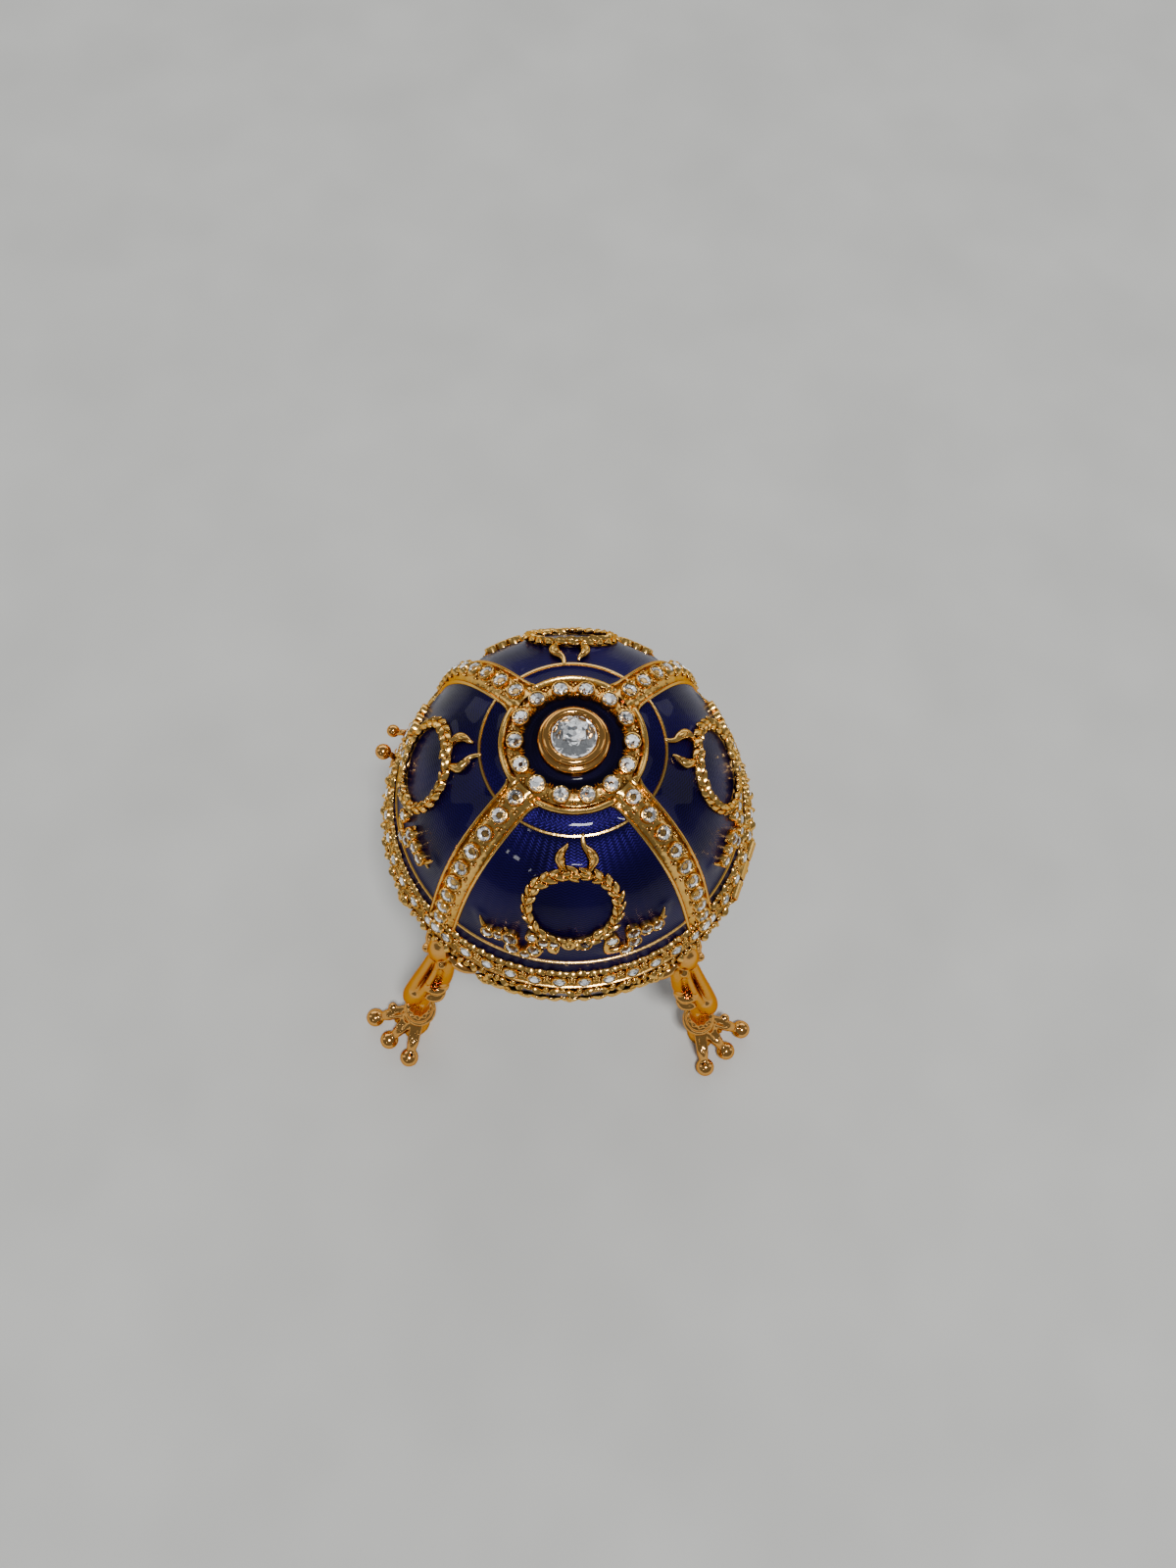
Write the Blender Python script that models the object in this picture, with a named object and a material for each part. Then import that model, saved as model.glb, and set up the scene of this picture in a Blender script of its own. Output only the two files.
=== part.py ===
"""A jewelled egg trinket box: a hinged lid over a hollow bowl, standing on four frog legs.

The egg is turned about Z, the ground is z = 0 and the front panel faces -Y. Relief is modelled flat, as
(sideways, distance along the egg's side, height above the enamel), and then laid on the egg.
"""
import math

import bmesh
import bpy
import numpy as np
from mathutils import Matrix, Vector

MM = 0.001
MERGE_DISTANCE = 0.01 * MM

# The egg's shell
SEAM_Z = 49.0 * MM
SEAM_RADIUS = 28.65 * MM
SEAM_GAP = 0.3 * MM
SIDE_LEAN = math.radians(18.7)
CROWN_HEIGHT = 25.9 * MM
CROWN_HANDLE = 23.1 * MM
LID_SIDE_HANDLE = 13.4 * MM
BELLY_OUT = 0.45 * MM
BELLY_RADIUS = SEAM_RADIUS + BELLY_OUT
BELLY_DROP = 5.0 * MM
BELLY_HANDLE = 2.2 * MM
BOWL_BOTTOM_Z = 11.0 * MM
BOWL_SIDE_HANDLE = 18.0 * MM
BOWL_FLOOR_HANDLE = 16.0 * MM
WALL = 1.8 * MM
SHELL_SIDES = 32
LID_ROWS = 6
BOWL_ROWS = 6

# The gold band on both sides of the seam, and the lip that the lid closes over
BAND_WIDTH = 3.4 * MM
BAND_HEIGHT = 0.5 * MM
BAND_SLOPE = 0.25 * MM
LIP_HEIGHT = 1.0 * MM
LIP_THICKNESS = 0.8 * MM
LIP_CLEARANCE = 0.3 * MM

# The crown: a stepped cup that holds the large crystal, and a ring of small set stones
CUP_INNER_RADIUS = 3.4 * MM
CUP_RIM_RADIUS = 4.5 * MM
CUP_FOOT_RADIUS = 5.1 * MM
CUP_RIM_HEIGHT = 2.6 * MM
CUP_STEP_HEIGHT = 1.3 * MM
CUP_SIDES = 14
CRYSTAL_CLEARANCE = 0.3 * MM
CRYSTAL_CROWN = 1.4 * MM
CRYSTAL_PAVILION = 2.1 * MM
CRYSTAL_TABLE_SHARE = 0.55
CRYSTAL_SIDES = 10
RING_INNER = 6.9 * MM
RING_OUTER = 10.6 * MM
RING_HEIGHT = 1.0 * MM
RING_LIP = 0.5 * MM
RING_STONES = 14
RING_STONE_S = 8.15 * MM
RING_TURN = math.radians(102.5)
RING_SIDES = 24

# The four ribs and the set stones
RIB_AZIMUTHS = [math.radians(angle) for angle in (-135, -45, 45, 135)]
RIB_WIDTH = 5.4 * MM
RIB_TOP_WIDTH = 2.7 * MM
RIB_HEIGHT = 1.1 * MM
RIB_EDGE_HEIGHT = 0.5 * MM
RIB_START = 9.8 * MM
RIB_ROWS = 7
RIB_STONES = 10
RIB_STONE_START = 11.4 * MM
RIB_STONE_PITCH = 3.2 * MM
BEZEL_RADIUS = 1.35 * MM
BEZEL_HEIGHT = 0.4 * MM
BEZEL_SIDES = 4

# The relief of each lid panel
PANEL_AZIMUTHS = [math.radians(angle) for angle in (-90, 0, 90, 180)]
BURIED = 0.6 * MM
WREATH_S = 24.9 * MM
WREATH_HALF_WIDTH = 6.4 * MM
WREATH_HALF_HEIGHT = 6.2 * MM
WREATH_THICKNESS = 2.2 * MM
WREATH_HEIGHT = 1.4 * MM
WREATH_LEAVES = 8
WREATH_NOTCH = 0.86
RIDGE_SIDES = 3
RIDGE_LIFT = 0.15 * MM
RELIEF_UNIT = 1.0 * MM
HORN_PATH = [(1.2, 18.4), (2.3, 17.2), (2.1, 15.9), (1.1, 14.9)]
HORN_THICKNESS = 1.6 * MM
KNOB_RADIUS = 1.3 * MM
KNOB_S = 31.0 * MM
SWAG_PATH = [(0.6, 31.0), (4.5, 31.2), (5.2, 33.6), (6.9, 34.5), (8.8, 33.6), (9.1, 31.5), (12.6, 32.1),
             (13.9, 30.3)]
SWAG_THICKNESS = 1.9 * MM
SWAG_TIP_SHARE = 0.45

# The bowl's garlands, one between each pair of legs, and the boss underneath
GARLAND_S = 5.6 * MM
GARLAND_SPAN = 13.5 * MM
GARLAND_SAG = 7.0 * MM
GARLAND_THICKNESS = 2.6 * MM
GARLAND_LEAVES = 5
ROSETTE_RADIUS = 1.7 * MM
ROSETTE_HEIGHT = 1.2 * MM
ROSETTE_SIDES = 6
PENDANT_DROP = 5.0 * MM
BOSS_RADIUS = 6.0 * MM
BOSS_DROP = 1.2 * MM
BOSS_KNOB_RADIUS = 2.4 * MM
BOSS_KNOB_DROP = 2.8 * MM

# The hinge
HINGE_AZIMUTH = math.radians(-21)
HINGE_STANDOFF = 0.55 * MM
HINGE_DROP = 0.9 * MM
KNUCKLE_RADIUS = 1.05 * MM
KNUCKLE_CLEARANCE = 0.25 * MM
KNUCKLE_LENGTH = 3.2 * MM
KNUCKLE_GAP = 0.3 * MM
KNUCKLE_SIDES = 10
HOLLOW_SIDES = 12
LUG_WIDTH = 0.8 * MM
LUG_DEPTH = 1.7 * MM
LUG_HEIGHT = 2.1 * MM
PIN_RADIUS = 0.5 * MM
PIN_CLEARANCE = 0.08 * MM
PIN_SIDES = 8
PIN_END = 0.4 * MM

# The clasp: two balls on pegs that snap past each other
CLASP_AZIMUTH = math.radians(158.5)
CLASP_SPACING = 3.6 * MM
CLASP_LID_BALL = 1.05 * MM
CLASP_BASE_BALL = 1.3 * MM
CLASP_REACH = 2.6 * MM
CLASP_HEIGHT = 1.3 * MM
PEG_RADIUS = 0.5 * MM
PEG_DEPTH = 1.1 * MM
PEG_CLEARANCE = 0.3 * MM

# The legs, as (out from the bowl's belly, sideways, up); one leg unit is a millimetre at this seam height
LEG_AZIMUTHS = {"leg_front_left": -139, "leg_front_right": -46, "leg_back_right": 41, "leg_back_left": 134}
LEG_LOBE_SIDES = {"leg_front_left": 1, "leg_front_right": -1, "leg_back_right": 1, "leg_back_left": -1}
LEG_GAP = 0.3 * MM
LEG_UNIT = SEAM_Z / 49
TOE_BALL = 1.7
TOE_SPREAD = 5.0
TOE_REACH = 13.8
MIDDLE_TOE_EXTRA = 0.7
TOE_SIDES = 5
SOLE_RADIUS = 3.1
SOLE_TOP_RADIUS = 1.5
SOLE_TOP = 6.5
ANKLE = (7.1, 0.9, 8.5)
THIGH = [(-0.5, 2.4, 43.0), (1.8, 2.4, 36.5), (3.8, 2.0, 30.8), (6.0, 1.3, 25.0), (7.3, 0.8, 21.2),
         (7.4, 0.6, 18.0)]
THIGH_RADII = [1.3, 1.9, 2.2, 2.2, 1.9, 1.0]
CALF = [(0.1, 4.2, 40.5), (1.9, 4.8, 33.5), (3.3, 4.3, 26.5), (4.5, 3.2, 21.0), (5.3, 2.2, 18.0)]
CALF_RADII = [1.2, 1.7, 1.8, 1.5, 0.8]
SHIN = [(5.0, 1.8, 25.5), (6.0, 1.5, 19.5), (6.5, 1.3, 14.0), (7.0, 1.0, 10.0), (7.3, 0.8, 5.5)]
SHIN_RADII = [1.6, 2.0, 1.6, 1.75, 2.0]
HIP_SIDEWAYS = 2.6
LEAF_ARM = [(0.2, 0.4, 41.5), (0.9, 1.9, 42.4), (0.8, 3.2, 42.9), (0.2, 4.3, 43.2)]
LEAF_RADII = [1.7, 1.4, 0.9, 0.35]
BRACKET = [(-0.5, 0.0, 45.3), (0.1, 0.0, 42.0), (0.2, 0.0, 36.5)]
BRACKET_RADII = [1.7, 2.1, 1.5]


class Meridian:
    """The egg's side from crown to foot, measured by the distance along it."""

    def __init__(self, *curves):
        steps = np.linspace(0.0, 1.0, 400)[:, None]
        parts = []
        for a, b, c, d in curves:
            a, b, c, d = (np.array(point) for point in (a, b, c, d))
            parts.append(
                (1 - steps) ** 3 * a
                + 3 * (1 - steps) ** 2 * steps * b
                + 3 * (1 - steps) * steps ** 2 * c
                + steps ** 3 * d
            )
        line = np.vstack([parts[0]] + [part[1:] for part in parts[1:]])
        lengths = np.hypot(*np.diff(line, axis=0).T)
        self.line = line
        self.s = np.concatenate([[0.0], np.cumsum(lengths)])
        self.slope = np.gradient(line, self.s, axis=0)
        self.length = float(self.s[-1])

    def point(self, s, height=0.0):
        """The radius and the z of a point at a distance along the side and a height above it."""
        radius = np.interp(s, self.s, self.line[:, 0])
        z = np.interp(s, self.s, self.line[:, 1])
        slope = Vector((np.interp(s, self.s, self.slope[:, 0]), np.interp(s, self.s, self.slope[:, 1])))
        slope.normalize()
        return float(radius - slope.y * height), float(z + slope.x * height)

    def lay(self, bm, azimuth):
        """Moves flat relief, given as (sideways, distance, height), onto the egg."""
        for vert in bm.verts:
            sideways, s, height = vert.co
            radius, _ = self.point(s)
            turn = azimuth + sideways / max(radius, MM)
            radius, z = self.point(s, height)
            vert.co = (radius * math.cos(turn), radius * math.sin(turn), z)


def lean(length):
    """A step along the leaning side at the seam, outwards and down."""
    return np.array([math.sin(SIDE_LEAN), -math.cos(SIDE_LEAN)]) * length


SEAM = np.array([SEAM_RADIUS, SEAM_Z])
CROWN_Z = SEAM_Z + CROWN_HEIGHT
BELLY = np.array([BELLY_RADIUS, SEAM_Z - BELLY_DROP])
LID_SIDE = Meridian(((0, CROWN_Z), (CROWN_HANDLE, CROWN_Z), SEAM - lean(LID_SIDE_HANDLE), SEAM))
BOWL_SIDE = Meridian(
    (SEAM, SEAM + lean(BELLY_HANDLE), BELLY + (0, BELLY_HANDLE), BELLY),
    (BELLY, BELLY - (0, BOWL_SIDE_HANDLE), (BOWL_FLOOR_HANDLE, BOWL_BOTTOM_Z), (0, BOWL_BOTTOM_Z)),
)
LID_EDGE = SEAM_GAP / 2 / math.cos(SIDE_LEAN)
HINGE_RADIUS = SEAM_RADIUS + HINGE_STANDOFF


def clear_scene():
    """Removes everything that the file opened with."""
    for item in list(bpy.data.objects):
        bpy.data.objects.remove(item, do_unlink=True)


def material(name, colour, roughness, metallic, alpha=1.0):
    """A plain Principled material."""
    result = bpy.data.materials.new(name)
    result.use_nodes = True
    shader = result.node_tree.nodes["Principled BSDF"]
    shader.inputs["Base Color"].default_value = (*colour, 1.0)
    shader.inputs["Roughness"].default_value = roughness
    shader.inputs["Metallic"].default_value = metallic
    shader.inputs["Alpha"].default_value = alpha
    return result


def to_object(bm, name, skin=None, smooth_angle=35):
    """Turns a bmesh into an object with outward faces and smooth shading."""
    bmesh.ops.recalc_face_normals(bm, faces=bm.faces)
    mesh = bpy.data.meshes.new(name)
    bm.to_mesh(mesh)
    bm.free()
    mesh.shade_smooth()
    mesh.set_sharp_from_angle(angle=math.radians(smooth_angle))
    item = bpy.data.objects.new(name, mesh)
    bpy.context.collection.objects.link(item)
    if skin:
        mesh.materials.append(skin)
    return item


def as_tool(item):
    """Marks an object as a shape that only cuts or joins."""
    item.hide_render = True
    item.display_type = "WIRE"
    return item


def combine(item, other, operation, has_overlaps=False):
    """Joins another shape to an object, or cuts it away."""
    step = item.modifiers.new(operation.lower(), "BOOLEAN")
    step.operation = operation
    step.solver = "EXACT"
    step.object = other
    step.use_self = has_overlaps


def merge(target, source):
    """Adds the geometry of one bmesh to another."""
    mesh = bpy.data.meshes.new("shape")
    source.to_mesh(mesh)
    source.free()
    target.from_mesh(mesh)
    bpy.data.meshes.remove(mesh)


def turned(outline, sides, closed=False):
    """Spins a line of (radius, z) points about Z."""
    bm = bmesh.new()
    verts = [bm.verts.new((radius, 0, z)) for radius, z in outline]
    pairs = list(zip(verts, verts[1:]))
    if closed:
        pairs.append((verts[-1], verts[0]))
    edges = [bm.edges.new(pair) for pair in pairs]
    bmesh.ops.spin(bm, geom=verts + edges, cent=(0, 0, 0), axis=(0, 0, 1), angle=2 * math.pi, steps=sides,
                   use_merge=True)
    bmesh.ops.remove_doubles(bm, verts=bm.verts, dist=MERGE_DISTANCE)
    bmesh.ops.recalc_face_normals(bm, faces=bm.faces)
    return bm


def sweep(rings):
    """Extrudes a face through rings of points and leaves both ends closed."""
    bm = bmesh.new()
    first = face = bm.faces.new([bm.verts.new(point) for point in rings[0]])
    for ring in rings[1:]:
        made = bmesh.ops.extrude_face_region(bm, geom=[face])["geom"]
        if face != first:
            bmesh.ops.delete(bm, geom=[face], context="FACES_ONLY")
        face = next(item for item in made if isinstance(item, bmesh.types.BMFace))
        for vert, point in zip(face.verts, ring):
            vert.co = point
    bmesh.ops.recalc_face_normals(bm, faces=bm.faces)
    return bm


def tube(path, radii, sides, up=Vector((0, 0, 1))):
    """Sweeps round sections of changing radius along a path."""
    points = [Vector(point) for point in path]
    rings = []
    for index, (point, radius) in enumerate(zip(points, radii)):
        ahead = points[min(index + 1, len(points) - 1)] - points[max(index - 1, 0)]
        across = ahead.cross(up).normalized()
        over = across.cross(ahead).normalized()
        angles = [math.pi / 2 + 2 * math.pi * step / sides for step in range(sides)]
        rings.append([point + (across * math.cos(a) + over * math.sin(a)) * radius for a in angles])
    return sweep(rings)


def button(u, s, radius, foot, top, sides, crown=1.0):
    """A low round boss in flat relief space."""
    bm = bmesh.new()
    bmesh.ops.create_cone(
        bm, cap_ends=True, segments=sides, radius1=radius, radius2=radius * crown, depth=top - foot,
        matrix=Matrix.Translation((u, s, (top + foot) / 2)),
    )
    return bm


def lid_outline():
    """The lid's section: enamel, band, rim and the hollow inside."""
    band_start = LID_SIDE.length - BAND_WIDTH
    edge = LID_SIDE.length - LID_EDGE
    outside = [LID_SIDE.point(s) for s in np.linspace(0, band_start, LID_ROWS)]
    band = [LID_SIDE.point(band_start + BAND_SLOPE, BAND_HEIGHT), LID_SIDE.point(edge, BAND_HEIGHT)]
    inside = [LID_SIDE.point(s, -WALL) for s in np.linspace(edge, 0, LID_ROWS)]
    band[-1] = (band[-1][0], SEAM_Z + SEAM_GAP / 2)
    inside[0] = (inside[0][0], SEAM_Z + SEAM_GAP / 2)
    return outside + band + inside


def bowl_outline():
    """The bowl's section: hollow, lip, rim, band and enamel down to the foot."""
    rim_z = SEAM_Z - SEAM_GAP / 2
    floor = BOWL_SIDE.length
    inside = [BOWL_SIDE.point(s, -WALL) for s in np.linspace(floor, BAND_WIDTH, BOWL_ROWS)]
    lip_foot = LID_SIDE.point(LID_SIDE.length, -WALL - LIP_CLEARANCE)[0]
    lip_slant = LIP_HEIGHT * math.tan(SIDE_LEAN)
    lip = [
        (lip_foot - LIP_THICKNESS - lip_slant, rim_z + LIP_HEIGHT),
        (lip_foot - lip_slant, rim_z + LIP_HEIGHT),
        (lip_foot, rim_z),
    ]
    band = [
        (BOWL_SIDE.point(LID_EDGE, BAND_HEIGHT)[0], rim_z),
        BOWL_SIDE.point(BAND_WIDTH - BAND_SLOPE, BAND_HEIGHT),
        BOWL_SIDE.point(BAND_WIDTH),
    ]
    rows = np.linspace(BAND_WIDTH, floor, BOWL_ROWS + 1)[1:]
    return inside + lip + band + [BOWL_SIDE.point(s) for s in rows]


def cup():
    """The stepped setting of the large crystal."""
    foot = CROWN_Z - BURIED
    rim = CROWN_Z + CUP_RIM_HEIGHT
    step = CROWN_Z + CUP_STEP_HEIGHT
    outline = [
        (CUP_INNER_RADIUS, foot), (CUP_INNER_RADIUS, rim), (CUP_RIM_RADIUS, rim),
        (CUP_RIM_RADIUS, step), (CUP_FOOT_RADIUS, step - BURIED / 2), (CUP_FOOT_RADIUS, foot),
    ]
    return turned(outline, CUP_SIDES, closed=True)


def crown_ring():
    """The raised ring round the crown, higher along its outer edge."""
    lip_width = (RING_OUTER - RING_INNER) / 4
    section = [
        (RING_INNER, -BURIED), (RING_INNER, RING_HEIGHT), (RING_OUTER - lip_width, RING_HEIGHT),
        (RING_OUTER - lip_width / 2, RING_HEIGHT + RING_LIP), (RING_OUTER, -BURIED),
    ]
    return turned([LID_SIDE.point(s, height) for s, height in section], RING_SIDES, closed=True)


def rib():
    """One rib, flat: low borders and a raised bed for the stones."""
    half, bed = RIB_WIDTH / 2, RIB_TOP_WIDTH / 2
    section = [(-half, -BURIED), (-half, RIB_EDGE_HEIGHT), (-bed, RIB_HEIGHT), (bed, RIB_HEIGHT),
               (half, RIB_EDGE_HEIGHT), (half, -BURIED)]
    end = LID_SIDE.length - 2 * LID_EDGE
    return sweep([[(u, s, height) for u, height in section] for s in np.linspace(RIB_START, end, RIB_ROWS)])


def wreath():
    """A ring of leaves, flat: a ring whose thickness swells at each leaf."""
    bm = bmesh.new()
    steps = 2 * WREATH_LEAVES
    half = WREATH_THICKNESS / 2
    section = [(-half, -BURIED), (0, WREATH_HEIGHT), (half, -BURIED)]
    ring = [bm.verts.new((WREATH_HALF_WIDTH + x, 0, z)) for x, z in section]
    edges = [bm.edges.new(pair) for pair in zip(ring, ring[1:] + ring[:1])]
    bmesh.ops.spin(bm, geom=ring + edges, cent=(0, 0, 0), axis=(0, 0, 1), angle=2 * math.pi, steps=steps,
                   use_merge=True)
    for vert in bm.verts:
        turn = math.atan2(vert.co.y, vert.co.x)
        axis = Vector((math.cos(turn), math.sin(turn), 0)) * WREATH_HALF_WIDTH
        swell = 1.0 if round(turn / (2 * math.pi) * steps) % 2 else WREATH_NOTCH
        vert.co = axis + (vert.co - axis) * swell
        vert.co.y *= WREATH_HALF_HEIGHT / WREATH_HALF_WIDTH
    bmesh.ops.translate(bm, verts=bm.verts, vec=(0, WREATH_S, 0))
    return bm


def flat_tube(path, thickness, end_share, mirror=1):
    """A tube along flat points in relief units, thinner at its end."""
    count = len(path)
    points = [(mirror * u * RELIEF_UNIT, s * RELIEF_UNIT, RIDGE_LIFT) for u, s in path]
    radii = [thickness / 2 * (1 - (1 - end_share) * (index / (count - 1)) ** 2) for index in range(count)]
    return tube(points, radii, RIDGE_SIDES)


def lid_relief():
    """Everything that stands on the lid, as one shape of overlapping bodies."""
    relief = bmesh.new()
    merge(relief, cup())
    merge(relief, crown_ring())
    for azimuth in RIB_AZIMUTHS:
        shape = rib()
        for index in range(RIB_STONES):
            s = RIB_STONE_START + index * RIB_STONE_PITCH
            merge(shape, button(0, s, BEZEL_RADIUS, RIB_HEIGHT - BEZEL_HEIGHT, RIB_HEIGHT + BEZEL_HEIGHT,
                                BEZEL_SIDES))
        LID_SIDE.lay(shape, azimuth)
        merge(relief, shape)
    for index in range(RING_STONES):
        shape = button(0, RING_STONE_S, BEZEL_RADIUS, RING_HEIGHT - BEZEL_HEIGHT, RING_HEIGHT + BEZEL_HEIGHT,
                       BEZEL_SIDES)
        LID_SIDE.lay(shape, RING_TURN - index * 2 * math.pi / RING_STONES)
        merge(relief, shape)
    for azimuth in PANEL_AZIMUTHS:
        shape = wreath()
        merge(shape, button(0, KNOB_S, KNOB_RADIUS, -BURIED, WREATH_THICKNESS, ROSETTE_SIDES, 0.7))
        for mirror in (-1, 1):
            merge(shape, flat_tube(HORN_PATH, HORN_THICKNESS, SWAG_TIP_SHARE, mirror))
            merge(shape, flat_tube(SWAG_PATH, SWAG_THICKNESS, SWAG_TIP_SHARE, mirror))
        LID_SIDE.lay(shape, azimuth)
        merge(relief, shape)
    merge(relief, hinge_knuckle(0, 1))
    return relief


def garland():
    """A laurel festoon between two rosettes, with a pendant at its middle, flat."""
    count = 2 * GARLAND_LEAVES + 1
    path, radii = [], []
    for index in range(count):
        share = 2 * index / (count - 1) - 1
        path.append((GARLAND_SPAN * share, GARLAND_S + GARLAND_SAG * (1 - share ** 2), RIDGE_LIFT))
        radii.append(GARLAND_THICKNESS / 2 * (1.0 if index % 2 else WREATH_NOTCH) * (1 - 0.3 * share ** 2))
    shape = tube(path, radii, RIDGE_SIDES)
    for u in (-GARLAND_SPAN, GARLAND_SPAN):
        merge(shape, button(u, GARLAND_S, ROSETTE_RADIUS, -BURIED, ROSETTE_HEIGHT, ROSETTE_SIDES, 0.6))
    low = GARLAND_S + GARLAND_SAG
    merge(shape, button(0, low, ROSETTE_RADIUS, -BURIED, ROSETTE_HEIGHT * 1.3, ROSETTE_SIDES, 0.6))
    for u in (-PENDANT_DROP / 3, 0, PENDANT_DROP / 3):
        drop = PENDANT_DROP if u == 0 else PENDANT_DROP * 0.8
        merge(shape, tube([(0, low, RIDGE_LIFT), (u * 0.8, low + drop * 0.6, RIDGE_LIFT),
                           (u * 1.6, low + drop, 0)], [0.6 * MM, 0.9 * MM, 0.3 * MM], RIDGE_SIDES))
    return shape


def boss():
    """The turned boss and knob under the bowl."""
    inside = BOWL_BOTTOM_Z + BURIED
    outline = [
        (0, inside), (BOSS_RADIUS * 0.8, inside), (BOSS_RADIUS, BOWL_BOTTOM_Z - BOSS_DROP / 2),
        (BOSS_RADIUS * 0.8, BOWL_BOTTOM_Z - BOSS_DROP), (BOSS_KNOB_RADIUS, BOWL_BOTTOM_Z - BOSS_DROP),
        (BOSS_KNOB_RADIUS * 0.8, BOWL_BOTTOM_Z - BOSS_KNOB_DROP), (0, BOWL_BOTTOM_Z - BOSS_KNOB_DROP),
    ]
    return turned(outline, CUP_SIDES)


def bowl_relief():
    """Everything that stands on the bowl, as one shape of overlapping bodies."""
    relief = boss()
    for azimuth in PANEL_AZIMUTHS:
        shape = garland()
        BOWL_SIDE.lay(shape, azimuth)
        merge(relief, shape)
    for place in (-1, 1):
        merge(relief, hinge_knuckle(place, -1))
    return relief


def hinge_frame():
    """Where the hinge axis lies: X outwards, Y along the axis."""
    place = Matrix.Translation((HINGE_RADIUS, 0, SEAM_Z - HINGE_DROP))
    return Matrix.Rotation(HINGE_AZIMUTH, 4, "Z") @ place


def hinge_knuckle(place, up):
    """A knuckle on the hinge axis, with the lug that carries it, above (1) or below (-1) the seam."""
    middle = place * (KNUCKLE_LENGTH + KNUCKLE_GAP)
    along = Matrix.Translation((0, middle, 0)) @ Matrix.Rotation(math.pi / 2, 4, "X")
    bm = bmesh.new()
    bmesh.ops.create_cone(
        bm, cap_ends=True, segments=KNUCKLE_SIDES, radius1=KNUCKLE_RADIUS, radius2=KNUCKLE_RADIUS,
        depth=KNUCKLE_LENGTH, matrix=along,
    )
    foot = 0.2 * KNUCKLE_RADIUS * up
    shoulder = KNUCKLE_RADIUS * up
    if up > 0:
        # the lid's lug comes down over the seam to its knuckle
        rim = HINGE_DROP + SEAM_GAP / 2
        top = HINGE_DROP + LUG_HEIGHT
        shape = [(-LUG_WIDTH, foot), (LUG_WIDTH, foot), (LUG_WIDTH, shoulder), (-LUG_DEPTH, top),
                 (-LUG_DEPTH, rim + 0.15 * MM), (-LUG_WIDTH, rim + 0.05 * MM)]
    else:
        shape = [(-LUG_DEPTH * 0.8, foot), (LUG_WIDTH, foot), (LUG_WIDTH, shoulder * 0.8),
                 (-0.3 * LUG_WIDTH, -LUG_HEIGHT), (-LUG_DEPTH * 0.8, -LUG_HEIGHT)]
    ends = (middle - KNUCKLE_LENGTH / 2 + 0.05 * MM, middle + KNUCKLE_LENGTH / 2 - 0.05 * MM)
    merge(bm, sweep([[(x, y, z) for x, z in shape] for y in ends]))
    bmesh.ops.transform(bm, matrix=hinge_frame(), verts=bm.verts)
    return bm


def hinge_rod(radius, length, middle=0.0, sides=PIN_SIDES):
    """A rod along the hinge axis, for the pin, its bore and the hollows for the knuckles."""
    along = Matrix.Translation((0, middle, 0)) @ Matrix.Rotation(math.pi / 2, 4, "X")
    bm = bmesh.new()
    bmesh.ops.create_cone(
        bm, cap_ends=True, segments=sides, radius1=radius, radius2=radius, depth=length,
        matrix=hinge_frame() @ along,
    )
    return bm


def knuckle_hollows(places):
    """Room in a shell's rim for the other shell's knuckles to turn in."""
    radius = (KNUCKLE_RADIUS + KNUCKLE_CLEARANCE) / math.cos(math.pi / HOLLOW_SIDES)
    bm = bmesh.new()
    for place in places:
        middle = place * (KNUCKLE_LENGTH + KNUCKLE_GAP)
        merge(bm, hinge_rod(radius, KNUCKLE_LENGTH + KNUCKLE_GAP, middle, HOLLOW_SIDES))
    return bm


def clasp_frame(side):
    """Where a clasp peg leaves the band: X outwards; side is 1 on the lid and -1 on the bowl."""
    turn = CLASP_AZIMUTH - side * CLASP_SPACING / 2 / SEAM_RADIUS
    height = SEAM_Z + side * CLASP_HEIGHT
    return Matrix.Rotation(turn, 4, "Z") @ Matrix.Translation((SEAM_RADIUS + BAND_HEIGHT, 0, height))


def clasp(side, ball):
    """A ball on a peg that bends towards the seam."""
    level = -side * CLASP_HEIGHT
    reach = CLASP_REACH
    path = [(-PEG_DEPTH, 0, 0), (reach * 0.25, 0, 0), (reach - ball, 0, level * 0.7)]
    radii = [PEG_RADIUS] * 3
    for share in (-0.85, 0, 0.6, 0.95):
        path.append((reach + share * ball, 0, level))
        radii.append(ball * math.sqrt(1 - share ** 2))
    bm = tube(path, radii, 7)
    bmesh.ops.transform(bm, matrix=clasp_frame(side), verts=bm.verts)
    return bm


def sockets(side):
    """The hinge bore and the clasp's hole, to cut from a shell."""
    bore = (PIN_RADIUS + PIN_CLEARANCE) / math.cos(math.pi / PIN_SIDES)
    bm = hinge_rod(bore, 4 * (KNUCKLE_LENGTH + KNUCKLE_GAP))
    hole = tube([(-PEG_DEPTH - PEG_CLEARANCE, 0, 0), (PEG_DEPTH, 0, 0)], [PEG_RADIUS + PEG_CLEARANCE] * 2, 8)
    bmesh.ops.transform(hole, matrix=clasp_frame(side), verts=hole.verts)
    merge(bm, hole)
    return bm


def crystal():
    """A round brilliant with a flat table, seated in the cup."""
    radius = CUP_INNER_RADIUS - CRYSTAL_CLEARANCE
    foot = CROWN_Z + CRYSTAL_CLEARANCE
    girdle = foot + CRYSTAL_PAVILION
    outline = [
        (0, foot), (radius * 0.35, foot), (radius, girdle - 0.1 * MM), (radius, girdle + 0.1 * MM),
        (radius * CRYSTAL_TABLE_SHARE, girdle + CRYSTAL_CROWN), (0, girdle + CRYSTAL_CROWN),
    ]
    return turned(outline, CRYSTAL_SIDES)


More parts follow.
